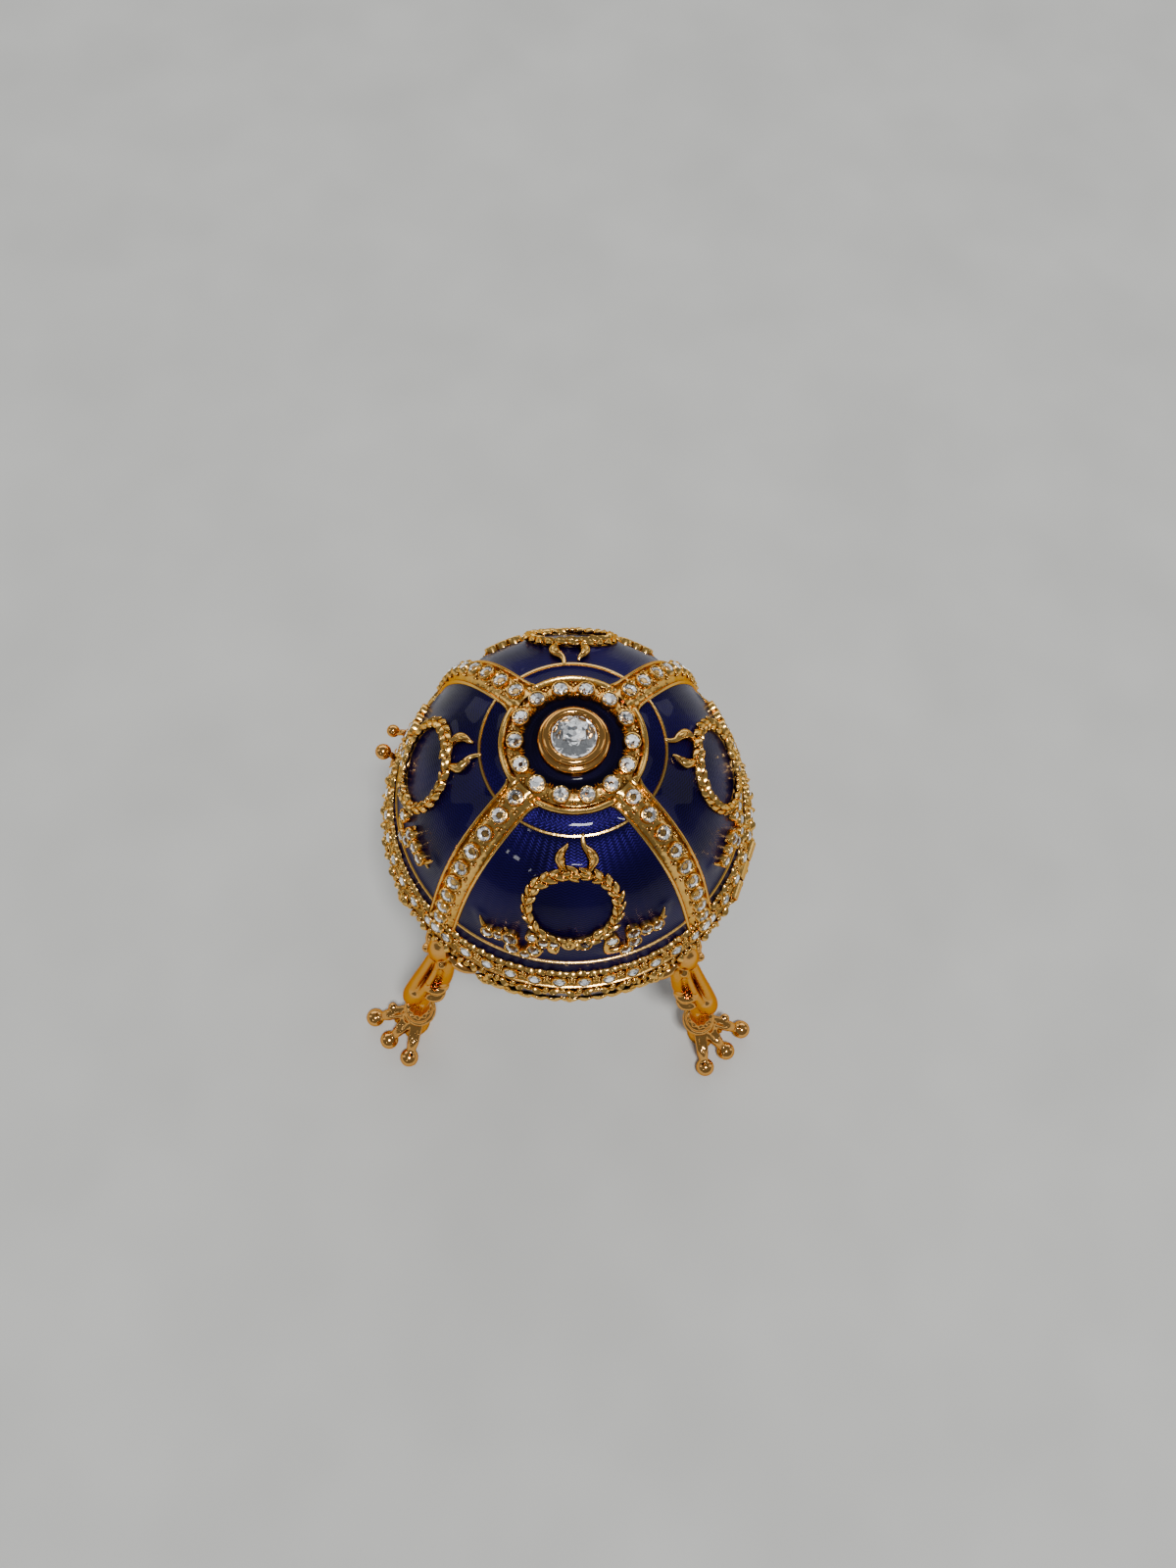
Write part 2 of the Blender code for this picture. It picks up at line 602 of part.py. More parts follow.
def limb(points, radii, sides=6):
    """A tapering limb through points in leg units, out from the belly."""
    path = [Vector((BELLY_RADIUS, 0, 0)) + Vector(point) * LEG_UNIT for point in points]
    return tube(path, [radius * LEG_UNIT for radius in radii], sides, up=Vector((0.2, 1, 0.1)))


def toe(spread):
    """A toe from the instep to its ball, spread sideways, in leg units."""
    reach = TOE_REACH + (MIDDLE_TOE_EXTRA if spread == 0 else 0)
    start = Vector((ANKLE[0] + 0.6, ANKLE[1] * 0.6 + spread * 0.15, 6.0))
    ball = Vector((reach, spread, TOE_BALL - 0.1))
    instep = start.lerp(ball, 0.35) + Vector((0, 0, -0.6))
    knuckle = start.lerp(ball, 0.62) + Vector((0, 0, 0.3))
    path = [start, instep, knuckle]
    radii = [1.5, 1.25, 1.15]
    along = (ball - path[-1]).normalized()
    path.append(ball - along * TOE_BALL * 1.05)
    radii.append(0.9)
    for share in (-0.5, 0.2, 0.9):
        path.append(ball + along * TOE_BALL * share)
        radii.append(TOE_BALL * math.sqrt(1 - share ** 2))
    return limb(path, radii, TOE_SIDES)


def leg_parts(side):
    """The leg's overlapping forms: thigh, calf, arms, bracket, cuff, sole and toes; side mirrors it."""
    ankle = Vector(ANKLE)
    parts = limb(THIGH, THIGH_RADII)
    merge(parts, limb(CALF, CALF_RADII, 5))
    for arm in (-1, 1):
        leaf = [(out, HIP_SIDEWAYS + arm * sideways, up) for out, sideways, up in LEAF_ARM]
        merge(parts, limb(leaf, LEAF_RADII, 4))
    bracket = [(out, HIP_SIDEWAYS + sideways, up) for out, sideways, up in BRACKET]
    merge(parts, limb(bracket, BRACKET_RADII))
    cuff = [ankle + Vector((0, 0, height)) for height in (2.0, 0.8, -0.6)]
    merge(parts, limb(cuff, [1.9, 2.6, 1.9], 8))
    sole = bmesh.new()
    out = BELLY_RADIUS + (ANKLE[0] + SOLE_TOP_RADIUS) * LEG_UNIT
    height = SOLE_TOP * LEG_UNIT + BURIED
    bmesh.ops.create_cone(
        sole, cap_ends=True, segments=8, radius1=SOLE_RADIUS * LEG_UNIT, radius2=SOLE_TOP_RADIUS * LEG_UNIT,
        depth=height, matrix=Matrix.Translation((out, 0, height / 2 - BURIED)),
    )
    merge(parts, sole)
    for spread in (-TOE_SPREAD, 0, TOE_SPREAD):
        merge(parts, toe(spread))
    for vert in parts.verts:
        vert.co.y *= side
    bmesh.ops.recalc_face_normals(parts, faces=parts.faces)
    return parts


def shin(side):
    """The lower leg, which carries the other forms; side mirrors it."""
    bm = limb(SHIN, SHIN_RADII)
    for vert in bm.verts:
        vert.co.y *= side
    bmesh.ops.recalc_face_normals(bm, faces=bm.faces)
    return bm


def bowl_clearance():
    """The bowl's outside with the gap that the legs keep, to cut from them."""
    rows = np.linspace(0, BOWL_SIDE.length, BOWL_ROWS * 2)
    outline = [BOWL_SIDE.point(s, LEG_GAP + (BAND_HEIGHT if s < BAND_WIDTH else 0)) for s in rows]
    top = (outline[0][0], SEAM_Z + BAND_WIDTH)
    outline[-1] = (0, outline[-1][1])
    return turned([(0, top[1]), top] + outline, SHELL_SIDES)


def build_shells(gold, enamel):
    """The lid and the bowl, each a hollow casting with its relief."""
    lid = to_object(turned(lid_outline(), SHELL_SIDES), "lid", enamel)
    base = to_object(turned(bowl_outline(), SHELL_SIDES), "base", enamel)
    for shell, relief, side in ((lid, lid_relief(), 1), (base, bowl_relief(), -1)):
        room = knuckle_hollows((-1, 1) if side > 0 else (0,))
        hollows = as_tool(to_object(room, shell.name + "_hollows", gold))
        combine(shell, hollows, "DIFFERENCE", has_overlaps=True)
        carved = as_tool(to_object(relief, shell.name + "_relief", gold))
        combine(shell, carved, "UNION", has_overlaps=True)
        holes = as_tool(to_object(sockets(side), shell.name + "_holes", gold))
        combine(shell, holes, "DIFFERENCE", has_overlaps=True)
    return lid, base


def build_legs(gold):
    """Four cast legs, in mirrored pairs, cut to the bowl and flat on the ground."""
    bowl = as_tool(to_object(bowl_clearance(), "bowl_clearance"))
    slab = bmesh.new()
    bmesh.ops.create_cube(slab, size=1.0, matrix=Matrix.Diagonal((0.2, 0.2, 0.02, 1.0)))
    bmesh.ops.translate(slab, verts=slab.verts, vec=(0, 0, -0.01))
    ground = as_tool(to_object(slab, "ground"))
    for name, azimuth in LEG_AZIMUTHS.items():
        side = LEG_LOBE_SIDES[name]
        leg = to_object(shin(side), name, gold)
        forms = as_tool(to_object(leg_parts(side), name + "_forms", gold))
        forms.parent = leg
        leg.rotation_euler.z = math.radians(azimuth)
        combine(leg, forms, "UNION", has_overlaps=True)
        combine(leg, bowl, "DIFFERENCE")
        combine(leg, ground, "DIFFERENCE")


def build_small_pieces(lid_pivot, gold, glass):
    """The crystal, the hinge pin and the two halves of the clasp."""
    stone = to_object(crystal(), "crown_crystal", glass, smooth_angle=5)
    pin_length = 3 * KNUCKLE_LENGTH + 2 * KNUCKLE_GAP + 2 * PIN_END
    to_object(hinge_rod(PIN_RADIUS, pin_length), "hinge_pin", gold)
    lid_ball = to_object(clasp(1, CLASP_LID_BALL), "clasp_lid", gold)
    to_object(clasp(-1, CLASP_BASE_BALL), "clasp_base", gold)
    for item in (stone, lid_ball):
        item.parent = lid_pivot
        item.matrix_parent_inverse = lid_pivot.matrix_world.inverted()


def main():
    """Builds the box."""
    clear_scene()
    gold = material("gold_plate", (0.80, 0.52, 0.16), 0.25, 1.0)
    enamel = material("blue_enamel", (0.02, 0.02, 0.22), 0.12, 0.0)
    glass = material("crystal", (0.95, 0.97, 1.0), 0.02, 0.0, 0.4)
    lid, _ = build_shells(gold, enamel)
    pivot = bpy.data.objects.new("hinge_axis", None)
    bpy.context.collection.objects.link(pivot)
    pivot.matrix_world = hinge_frame()
    lid.parent = pivot
    lid.matrix_parent_inverse = pivot.matrix_world.inverted()
    for tool in ("lid_hollows", "lid_relief", "lid_holes"):
        bpy.data.objects[tool].parent = lid
    build_legs(gold)
    build_small_pieces(pivot, gold, glass)


main()
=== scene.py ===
"""The dressed jewelled egg trinket box: blue enamel, cast gold relief, set stones and four frog legs.

Shapes are worked out in millimetres and become metres when a piece is published. Relief is modelled
flat, as (sideways, distance along the egg's side, height above the enamel), and then laid on the egg.
"""
import logging
import math
from dataclasses import dataclass
from enum import Enum

import bmesh
import bpy
import numpy as np
from mathutils import Matrix, Vector, noise


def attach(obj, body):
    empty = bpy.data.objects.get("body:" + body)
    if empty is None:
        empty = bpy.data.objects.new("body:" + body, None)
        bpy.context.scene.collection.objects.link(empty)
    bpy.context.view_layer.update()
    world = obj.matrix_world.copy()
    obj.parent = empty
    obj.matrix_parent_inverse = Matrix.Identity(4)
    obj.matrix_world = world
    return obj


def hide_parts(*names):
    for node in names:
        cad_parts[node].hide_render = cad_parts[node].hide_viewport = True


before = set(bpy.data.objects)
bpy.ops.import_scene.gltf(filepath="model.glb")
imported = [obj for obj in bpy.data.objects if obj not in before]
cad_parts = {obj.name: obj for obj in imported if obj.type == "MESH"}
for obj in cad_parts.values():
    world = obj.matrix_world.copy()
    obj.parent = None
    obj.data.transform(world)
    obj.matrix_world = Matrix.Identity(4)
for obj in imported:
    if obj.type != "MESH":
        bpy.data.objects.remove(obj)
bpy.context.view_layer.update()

MM = 0.001
FULL_TURN = 2 * math.pi
MERGE = 0.002
# how much the gold's tone drifts, as a share of the way from recess to crest
TONE_DRIFT = 0.34
# length along the enamel of one radian from the rings' centre
ENAMEL_ARC_MM = 28
# how far a ring sways on its way round, in radians of its own wave
RING_SWAY = 2.1
CURVE_SAMPLES = 400
LOG = logging.getLogger("egg_box")

BMesh = bmesh.types.BMesh
Mesh = bpy.types.Mesh
Material = bpy.types.Material
Point = tuple[float, float]
Path = list[tuple[float, ...]]


class Body(Enum):
    """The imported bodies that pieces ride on."""

    LID = "lid"
    BASE = "base"


class Slot(Enum):
    """Three material slot names; nothing in this script uses them."""

    CASTING = "enamelled_casting"
    GOLD = "gold_plate"
    CRYSTAL = "crystal"


# Colour and materials


def linear(hex_colour: str) -> tuple[float, float, float, float]:
    """Turns an sRGB hex value to a linear colour.

    Args:
        hex_colour: six hex digits after a hash.

    Returns:
        Red, green, blue and an alpha of one.
    """
    parts = [int(hex_colour[index:index + 2], 16) / 255 for index in (1, 3, 5)]
    red, green, blue = (
        part / 12.92 if part <= 0.04045 else ((part + 0.055) / 1.055) ** 2.4 for part in parts)
    return red, green, blue, 1.0


def feed(node: bpy.types.Node, inputs: dict | tuple) -> None:
    """Sets or links a node's inputs.

    Args:
        node: the node.
        inputs: values by socket name or in the sockets' order. An output socket is linked, and a node
            stands for its first output.
    """
    for key, value in inputs.items() if isinstance(inputs, dict) else enumerate(inputs):
        if isinstance(value, bpy.types.Node):
            value = value.outputs[0]
        if isinstance(value, bpy.types.NodeSocket):
            node.id_data.links.new(value, node.inputs[key])
        else:
            node.inputs[key].default_value = value


def add_node(tree: bpy.types.NodeTree, kind: str, inputs: dict | tuple = (),
             stops: tuple[tuple[float, str], ...] = (), **settings: object) -> bpy.types.Node:
    """Adds a node with its settings and links.

    Args:
        tree: the material's node tree.
        kind: the node's type name.
        inputs: what feed gives to its sockets.
        stops: a ramp's positions with their sRGB hex colours, in order.
        settings: the node's own properties.

    Returns:
        The new node.
    """
    node = tree.nodes.new(kind)
    for name, value in settings.items():
        setattr(node, name, value)
    feed(node, inputs)
    for index, (position, colour) in enumerate(stops):
        elements = node.color_ramp.elements
        element = elements[index] if index < len(elements) else elements.new(position)
        element.position = position
        element.color = linear(colour)
    return node


def new_material(name: str) -> tuple[Material, bpy.types.NodeTree, bpy.types.Node]:
    """Starts a material.

    Args:
        name: the finish's common name.

    Returns:
        The material, its node tree and its Principled shader.
    """
    result = bpy.data.materials.new(name)
    result.use_nodes = True
    return result, result.node_tree, result.node_tree.nodes["Principled BSDF"]


@dataclass(frozen=True)
class GoldPlate:
    """Gold plated casting metal, bright on the crests, with painted shade: an ambient occlusion node browns the
    hollows.

    Args:
        name: the material's name.
        crest: colour of the polished metal.
        recess: colour of the painted shade in the hollows.
        edge: colour seen along the surface.
        roughness: of the polished metal.
        grain_mm: size of the casting's grain.
        grain_depth_mm: how deep the grain is.
        painted_shade_reach_mm: how far the painted shade reaches out of a hollow.
    """

    name: str
    crest: str
    recess: str
    edge: str
    roughness: float
    grain_mm: float
    grain_depth_mm: float
    painted_shade_reach_mm: float

    def build(self) -> Material:
        """Makes the material."""
        result, tree, shader = new_material(self.name)
        place = add_node(tree, "ShaderNodeTexCoord").outputs["Object"]
        grain, cloud = (
            add_node(tree, "ShaderNodeTexNoise", {"Vector": place, "Scale": 1 / (size * MM), "Detail": detail})
            for size, detail in ((self.grain_mm, 3.0), (6 * self.grain_mm, 2.0)))
        # painted shade: ambient occlusion pulls the colour towards the recess colour in hollows and creases
        hollow = add_node(tree, "ShaderNodeAmbientOcclusion", {"Distance": self.painted_shade_reach_mm * MM}, samples=8)
        # the tone drifts over a few millimetres, as uneven plating does
        drift = add_node(tree, "ShaderNodeMath", (cloud, TONE_DRIFT, -TONE_DRIFT / 2), operation="MULTIPLY_ADD")
        tone = add_node(
            tree, "ShaderNodeMath", (hollow.outputs["AO"], drift), operation="ADD", use_clamp=True)
        feed(shader, {
            "Base Color": add_node(
                tree, "ShaderNodeValToRGB", {"Fac": tone}, ((0.25, self.recess), (0.85, self.crest))),
            "Roughness": add_node(tree, "ShaderNodeMapRange", {
                "Value": grain, "From Min": 0.3, "From Max": 0.7, "To Min": self.roughness * 0.7,
                "To Max": self.roughness * 1.4}),
            "Normal": add_node(tree, "ShaderNodeBump", {
                "Height": grain, "Strength": 1.0, "Distance": self.grain_depth_mm * MM}),
            "Metallic": 1.0,
            # seen along the surface, the plating turns a deeper orange instead of white
            "Specular Tint": linear(self.edge),
        })
        return result


@dataclass(frozen=True)
class EngravedEnamel:
    """Translucent vitreous enamel, fired over engine-turned metal and polished smooth.

    The engraved ground glows through the blue, and the glass on top gives one clean reflection.

    Args:
        name: the material's name.
        deep: colour where the ground lies in shade.
        bright: colour where the ground catches light.
        line_mm: distance between two engraved rings.
        ripples: how often a ring waves on its way round.
        centre_z_mm: height of the point that the rings are measured from.
    """

    name: str
    deep: str
    bright: str
    line_mm: float
    ripples: int
    centre_z_mm: float

    def build(self) -> Material:
        """Makes the material."""
        result, tree, shader = new_material(self.name)
        place = add_node(tree, "ShaderNodeTexCoord").outputs["Object"]
        x, y, z = add_node(tree, "ShaderNodeSeparateXYZ", (place,)).outputs
        azimuth = add_node(tree, "ShaderNodeMath", (y, x), operation="ARCTAN2")
        flat = add_node(tree, "ShaderNodeVectorMath", (place, (1.0, 1.0, 0.0)), operation="MULTIPLY")
        radius = add_node(tree, "ShaderNodeVectorMath", (flat,), operation="LENGTH").outputs["Value"]
        drop = add_node(tree, "ShaderNodeMath", (z, self.centre_z_mm * MM), operation="SUBTRACT")
        polar = add_node(tree, "ShaderNodeMath", (radius, drop), operation="ARCTAN2")
        # the rings follow the polar angle and sway on their way round
        rings = FULL_TURN * ENAMEL_ARC_MM / self.line_mm
        turn = add_node(tree, "ShaderNodeMath", (azimuth, float(self.ripples)), operation="MULTIPLY")
        wave = add_node(tree, "ShaderNodeMath", (turn,), operation="SINE")
        sway = add_node(tree, "ShaderNodeMath", (wave, RING_SWAY), operation="MULTIPLY")
        phase = add_node(tree, "ShaderNodeMath", (polar, rings, sway), operation="MULTIPLY_ADD")
        line = add_node(tree, "ShaderNodeMath", (phase,), operation="SINE")
        height = add_node(tree, "ShaderNodeMath", (line, 0.5, 0.5), operation="MULTIPLY_ADD")
        cloud = add_node(tree, "ShaderNodeTexNoise", {"Vector": place, "Scale": 1 / (9 * MM), "Detail": 1.0})
        tone = add_node(tree, "ShaderNodeMath", (height, 0.45, cloud), operation="MULTIPLY_ADD")
        # painted shade: the enamel's ground is made darker near the crown, where its cell faces up
        depth = add_node(tree, "ShaderNodeMapRange", {
            "Value": polar, "From Min": 0.26, "From Max": 0.36, "To Min": 0.45, "To Max": 1.0})
        tone = add_node(tree, "ShaderNodeMath", (tone, depth), operation="MULTIPLY")
        feed(shader, {
            "Base Color": add_node(
                tree, "ShaderNodeValToRGB", {"Fac": tone}, ((0.35, self.deep), (0.95, self.bright))),
            "Normal": add_node(tree, "ShaderNodeBump", {"Height": height, "Strength": 0.6, "Distance": 0.04 * MM}),
            "Metallic": 0.7,
            "Roughness": 0.38,
            "Specular IOR Level": 0.1,
            "Coat Weight": 0.22,
            "Coat Roughness": 0.03,
            "Coat IOR": 1.52,
        })
        return result


@dataclass(frozen=True)
class LeadCrystal:
    """Clear lead crystal: see-through, with a stronger flash than window glass.

    Args:
        name: the material's name.
        tint: its faint body colour.
        ior: refractive index, 1.54 for machine-cut crystal.
    """

    name: str
    tint: str
    ior: float

    def build(self) -> Material:
        """Makes the material."""
        result, _, shader = new_material(self.name)
        feed(shader, {"Base Color": linear(self.tint), "Roughness": 0.0, "IOR": self.ior,
                      "Transmission Weight": 1.0})
        return result


@dataclass(frozen=True)
class SilverFoil:
    """The mirror foil behind a set stone, pressed in small facets, with painted glints: some facets glow white by
    emission and others are painted dark.

    Args:
        name: the material's name.
        bright: colour of clean foil, and of the painted glint where a facet glows.
        unlit_facet: colour of a facet painted as catching no light.
        cell_mm: size of a pressed facet.
        tilt: how far the facets lean, as a share of the normal's length.
        flash: strength of the emission that paints the lamp's glints on the foil.
    """

    name: str
    bright: str
    unlit_facet: str
    cell_mm: float
    tilt: float
    flash: float

    def build(self) -> Material:
        """Makes the material."""
        result, tree, shader = new_material(self.name)
        place = add_node(tree, "ShaderNodeTexCoord").outputs["Object"]
        patch = add_node(tree, "ShaderNodeTexVoronoi", {"Vector": place, "Scale": 1 / (self.cell_mm * MM)})
        cell = patch.outputs["Color"]
        share = add_node(tree, "ShaderNodeSeparateXYZ", (cell,))
        # painted glints: each facet's colour runs from a painted unlit grey to a glowing white
        colour = add_node(tree, "ShaderNodeValToRGB", {"Fac": share}, ((0.0, self.unlit_facet), (0.5, self.bright)))
        # each facet leans its own way, so neighbours mirror the lamp, the window or the dark bezel
        straight = add_node(tree, "ShaderNodeNewGeometry").outputs["Normal"]
        middle = add_node(tree, "ShaderNodeVectorMath", (straight, (self.tilt / 2,) * 3), operation="SUBTRACT")
        leaning = add_node(
            tree, "ShaderNodeVectorMath", (cell, (self.tilt,) * 3, middle), operation="MULTIPLY_ADD")
        feed(shader, {
            "Base Color": colour,
            "Normal": add_node(tree, "ShaderNodeVectorMath", (leaning,), operation="NORMALIZE"),
            "Metallic": 0.85,
            "Roughness": 0.12,
            # painted glints: the cut glass keeps the lamp's direct rays off the foil, so the foil glows by
            # emission in their place
            "Emission Color": colour,
            "Emission Strength": self.flash,
        })
        return result


@dataclass(frozen=True)
class PaleTable:
    """A plain pale matt table top.

    Args:
        name: the material's name.
        light: colour of the top.
        shade: colour of its faint clouds.
        cloud_mm: size of the clouds.
    """

    name: str
    light: str
    shade: str
    cloud_mm: float

    def build(self) -> Material:
        """Makes the material."""
        result, tree, shader = new_material(self.name)
        place = add_node(tree, "ShaderNodeTexCoord").outputs["Object"]
        cloud = add_node(tree, "ShaderNodeTexNoise", {"Vector": place, "Scale": 1 / (self.cloud_mm * MM)})
        colour = add_node(tree, "ShaderNodeValToRGB", {"Fac": cloud}, ((0.3, self.shade), (0.7, self.light)))
        feed(shader, {"Base Color": colour, "Roughness": 0.7})
        return result


@dataclass
class Finishes:
    """Every finish of the box, built once."""

    relief: Material
    polished: Material
    inside: Material
    enamel: Material
    crystal: Material
    foil: Material

    @classmethod
    def build(cls) -> "Finishes":
        """Makes all materials."""
        # each gold's second colour is the painted shade of its hollows
        relief = GoldPlate("gold_plated_relief", "#FFCC72", "#84500F", "#E8B060", 0.17, 0.4, 0.02, 0.8)
        polished = GoldPlate("polished_gold_plate", "#F0B262", "#6A3A0C", "#E2A854", 0.12, 1.0, 0.035, 1.8)
        inside = GoldPlate("satin_gold_plate", "#D6AC5C", "#9C7232", "#D8A860", 0.34, 0.5, 0.01, 3.0)
        enamel = EngravedEnamel("blue_engraved_enamel", "#05021A", "#180652", 0.42, 97, 46.0)
        crystal = LeadCrystal("lead_crystal", "#FBFDFF", 1.54)
        # the foil's dark grey and its glow are painted glints
        foil = SilverFoil("silver_foil", "#FFFFFF", "#3C4248", 0.55, 0.9, 0.6)
        return cls(*(finish.build() for finish in (relief, polished, inside, enamel, crystal, foil)))


# Shaping


@dataclass
class EggSide:
    """The egg's side as Bezier curves of (radius, z), measured by the distance along it.

    Args:
        curves: each curve's four points.
    """

    curves: tuple[tuple[Point, Point, Point, Point], ...]

    def __post_init__(self) -> None:
        """Samples the curves."""
        steps = np.linspace(0.0, 1.0, CURVE_SAMPLES)[:, None]
        parts = []
        for a, b, c, d in (tuple(np.array(point) for point in curve) for curve in self.curves):
            parts.append((1 - steps) ** 3 * a + 3 * (1 - steps) ** 2 * steps * b
                         + 3 * (1 - steps) * steps ** 2 * c + steps ** 3 * d)
        self.line = np.vstack([parts[0]] + [part[1:] for part in parts[1:]])
        lengths = np.hypot(*np.diff(self.line, axis=0).T)
        self.distance = np.concatenate([[0.0], np.cumsum(lengths)])
        slope = np.gradient(self.line, self.distance, axis=0)
        self.slope = slope / np.hypot(*slope.T)[:, None]
        self.length = float(self.distance[-1])

    def sample(self, s: np.ndarray, height: np.ndarray | float) -> tuple[np.ndarray, np.ndarray]:
        """Finds points above the side.

        Args:
            s: distances along the side.
            height: heights above it.

        Returns:
            The points' radii and heights over the ground.
        """
        across, down = (np.interp(s, self.distance, self.slope[:, axis]) for axis in (0, 1))
        radius, z = (np.interp(s, self.distance, self.line[:, axis]) for axis in (0, 1))
        return radius - down * height, z + across * height

    def point(self, s: float, height: float = 0.0) -> Point:
        """The radius and z of one point above the side."""
        radius, z = self.sample(s, height)
        return float(radius), float(z)

    def outline(self, pairs: list[Point]) -> list[Point]:
        """Turns (distance, height) pairs into (radius, z) points."""
        return [self.point(s, height) for s, height in pairs]

    def lay(self, bm: BMesh, azimuth: float) -> BMesh:
        """Moves flat relief onto the egg.

        Args:
            bm: relief as (sideways, distance, height).
            azimuth: where its middle goes, in radians.

        Returns:
            The same bmesh.
        """
        sideways, s, height = np.array([vert.co[:] for vert in bm.verts]).T
        turn = azimuth + sideways / np.maximum(self.sample(s, 0.0)[0], 1.0)
        radius, z = self.sample(s, height)
        places = np.column_stack((radius * np.cos(turn), radius * np.sin(turn), z))
        for vert, place in zip(bm.verts, places):
            vert.co = place
        return bm

    def seat(self, azimuth: float, sideways: float, s: float, height: float) -> Matrix:
        """The place of a small rigid shape on the egg.

        Args:
            azimuth: the panel's or rib's middle, in radians.
            sideways: offset round the egg.
            s: distance along the side.
            height: height above the enamel.

        Returns:
            A matrix whose Z axis is the outward normal.
        """
        turn = azimuth + sideways / max(self.point(s)[0], 1.0)
        radius, z = self.point(s, height)
        across, down = (float(np.interp(s, self.distance, self.slope[:, axis])) for axis in (0, 1))
        out = Vector((-down * math.cos(turn), -down * math.sin(turn), across))
        side = Vector((-math.sin(turn), math.cos(turn), 0))
        ahead = out.cross(side)
        place = Matrix((side, ahead, out)).transposed().to_4x4()
        place.translation = (radius * math.cos(turn), radius * math.sin(turn), z)
        return place


def turned(angle: float, axis: str = "Z") -> Matrix:
    """A turn about an axis, in radians."""
    return Matrix.Rotation(angle, 4, axis)


def shifted(x: float, y: float, z: float) -> Matrix:
    """A shift."""
    return Matrix.Translation((x, y, z))


def scaled(size: float) -> Matrix:
    """A change of size."""
    return Matrix.Scale(size, 4)


def move(bm: BMesh, place: Matrix) -> None:
    """Moves a whole shape."""
    bmesh.ops.transform(bm, matrix=place, verts=bm.verts)


def as_mesh(bm: BMesh) -> Mesh:
    """Writes a bmesh to a loose mesh and frees it."""
    mesh = bpy.data.meshes.new("shape")
    bm.to_mesh(mesh)
    bm.free()
    return mesh


def merge(target: BMesh, source: BMesh) -> None:
    """Adds the geometry of one bmesh to another and frees it."""
    mesh = as_mesh(source)
    target.from_mesh(mesh)
    bpy.data.meshes.remove(mesh)


def stamp(target: BMesh, shape: Mesh, place: Matrix) -> None:
    """Adds a copy of a repeated shape at a place."""
    copy = shape.copy()
    copy.transform(place)
    target.from_mesh(copy)
    bpy.data.meshes.remove(copy)


def spun(outline: list[Point], steps: int, closed: bool = False) -> BMesh:
    """Spins a line of (radius, z) points about Z.

    Args:
        outline: the points.
        steps: sides of the round shape.
        closed: True joins the last point to the first.

    Returns:
        The turned shape, with its poles closed.
    """
    bm = bmesh.new()
    verts = [bm.verts.new((radius, 0, z)) for radius, z in outline]
    pairs = list(zip(verts, verts[1:])) + ([(verts[-1], verts[0])] if closed else [])
    edges = [bm.edges.new(pair) for pair in pairs]
    bmesh.ops.spin(bm, geom=verts + edges, cent=(0, 0, 0), axis=(0, 0, 1), angle=FULL_TURN, steps=steps,
                   use_merge=True)
    bmesh.ops.remove_doubles(bm, verts=bm.verts, dist=MERGE)
    return bm


def sweep(rings: list[list[Vector]]) -> BMesh:
    """Extrudes a face through rings of points and leaves both ends closed."""
    bm = bmesh.new()
    first = face = bm.faces.new([bm.verts.new(point) for point in rings[0]])
    for ring in rings[1:]:
        made = bmesh.ops.extrude_face_region(bm, geom=[face])["geom"]
        if face != first:
            bmesh.ops.delete(bm, geom=[face], context="FACES_ONLY")
        face = next(item for item in made if isinstance(item, bmesh.types.BMFace))
        for vert, point in zip(face.verts, ring):
            vert.co = point
    return bm


def smooth_path(points: Path, steps: int) -> np.ndarray:
    """Runs a smooth curve through points.

    Args:
        points: the points, with any number of columns.
        steps: samples between two points.

    Returns:
        The curve's samples, one row each.
    """
    rows = np.array(points, float)
    rows = np.vstack([2 * rows[0] - rows[1], rows, 2 * rows[-1] - rows[-2]])
    samples = []
    for a, b, c, d in zip(rows, rows[1:], rows[2:], rows[3:]):
        for t in np.arange(steps) / steps:
            samples.append(0.5 * (2 * b + (c - a) * t + (2 * a - 5 * b + 4 * c - d) * t ** 2
                                  + (3 * b - a - 3 * c + d) * t ** 3))
    samples.append(rows[-2])
    return np.array(samples)


def tube(path: Path, sides: int, steps: int, up: tuple[float, float, float] = (0, 0, 1),
         flatten: float = 1.0) -> BMesh:
    """Sweeps round sections along a smooth path, with rounded ends.

    Args:
        path: rows of x, y, z and radius.
        sides: corners of a section.
        steps: sections between two points.
        up: a direction that is never along the path.
        flatten: height of a section over its width.

    Returns:
        The closed tube.
    """
    rows = smooth_path(path, steps)
    points = [Vector(row[:3]) for row in rows]
    radii = list(np.maximum(rows[:, 3], 0.02))
    for end, inner in ((0, 1), (-1, -2)):
        along = (points[end] - points[inner]).normalized() * radii[end]
        tips = [(points[end] + along * reach, radii[end] * share)
                for reach, share in ((0.6, 0.8), (0.92, 0.38))]
        for point, radius in tips:
            points.insert(0 if end == 0 else len(points), point)
            radii.insert(0 if end == 0 else len(radii), radius)
    rings = []
    for index, (point, radius) in enumerate(zip(points, radii)):
        ahead = points[min(index + 1, len(points) - 1)] - points[max(index - 1, 0)]
        across = ahead.cross(Vector(up)).normalized()
        over = across.cross(ahead).normalized()
        turns = [FULL_TURN * step / sides for step in range(sides)]
        rings.append([point + (across * math.cos(turn) + over * math.sin(turn) * flatten) * radius
                      for turn in turns])
    return sweep(rings)


def ball(centre: tuple[float, float, float], radius: float, squash: float = 1.0, sides: int = 8) -> BMesh:
    """A small ball, pressed flat by squash."""
    bm = bmesh.new()
    place = shifted(*centre) @ Matrix.Diagonal((1, 1, squash, 1))
    rings = max(5, sides * 3 // 4)
    bmesh.ops.create_uvsphere(bm, u_segments=sides, v_segments=rings, radius=radius, matrix=place)
    return bm


def dot(bm: BMesh, bead: Mesh, seat: Matrix, radius: float) -> None:
    """Adds a bead of a radius at a seat."""
    stamp(bm, bead, seat @ scaled(radius))


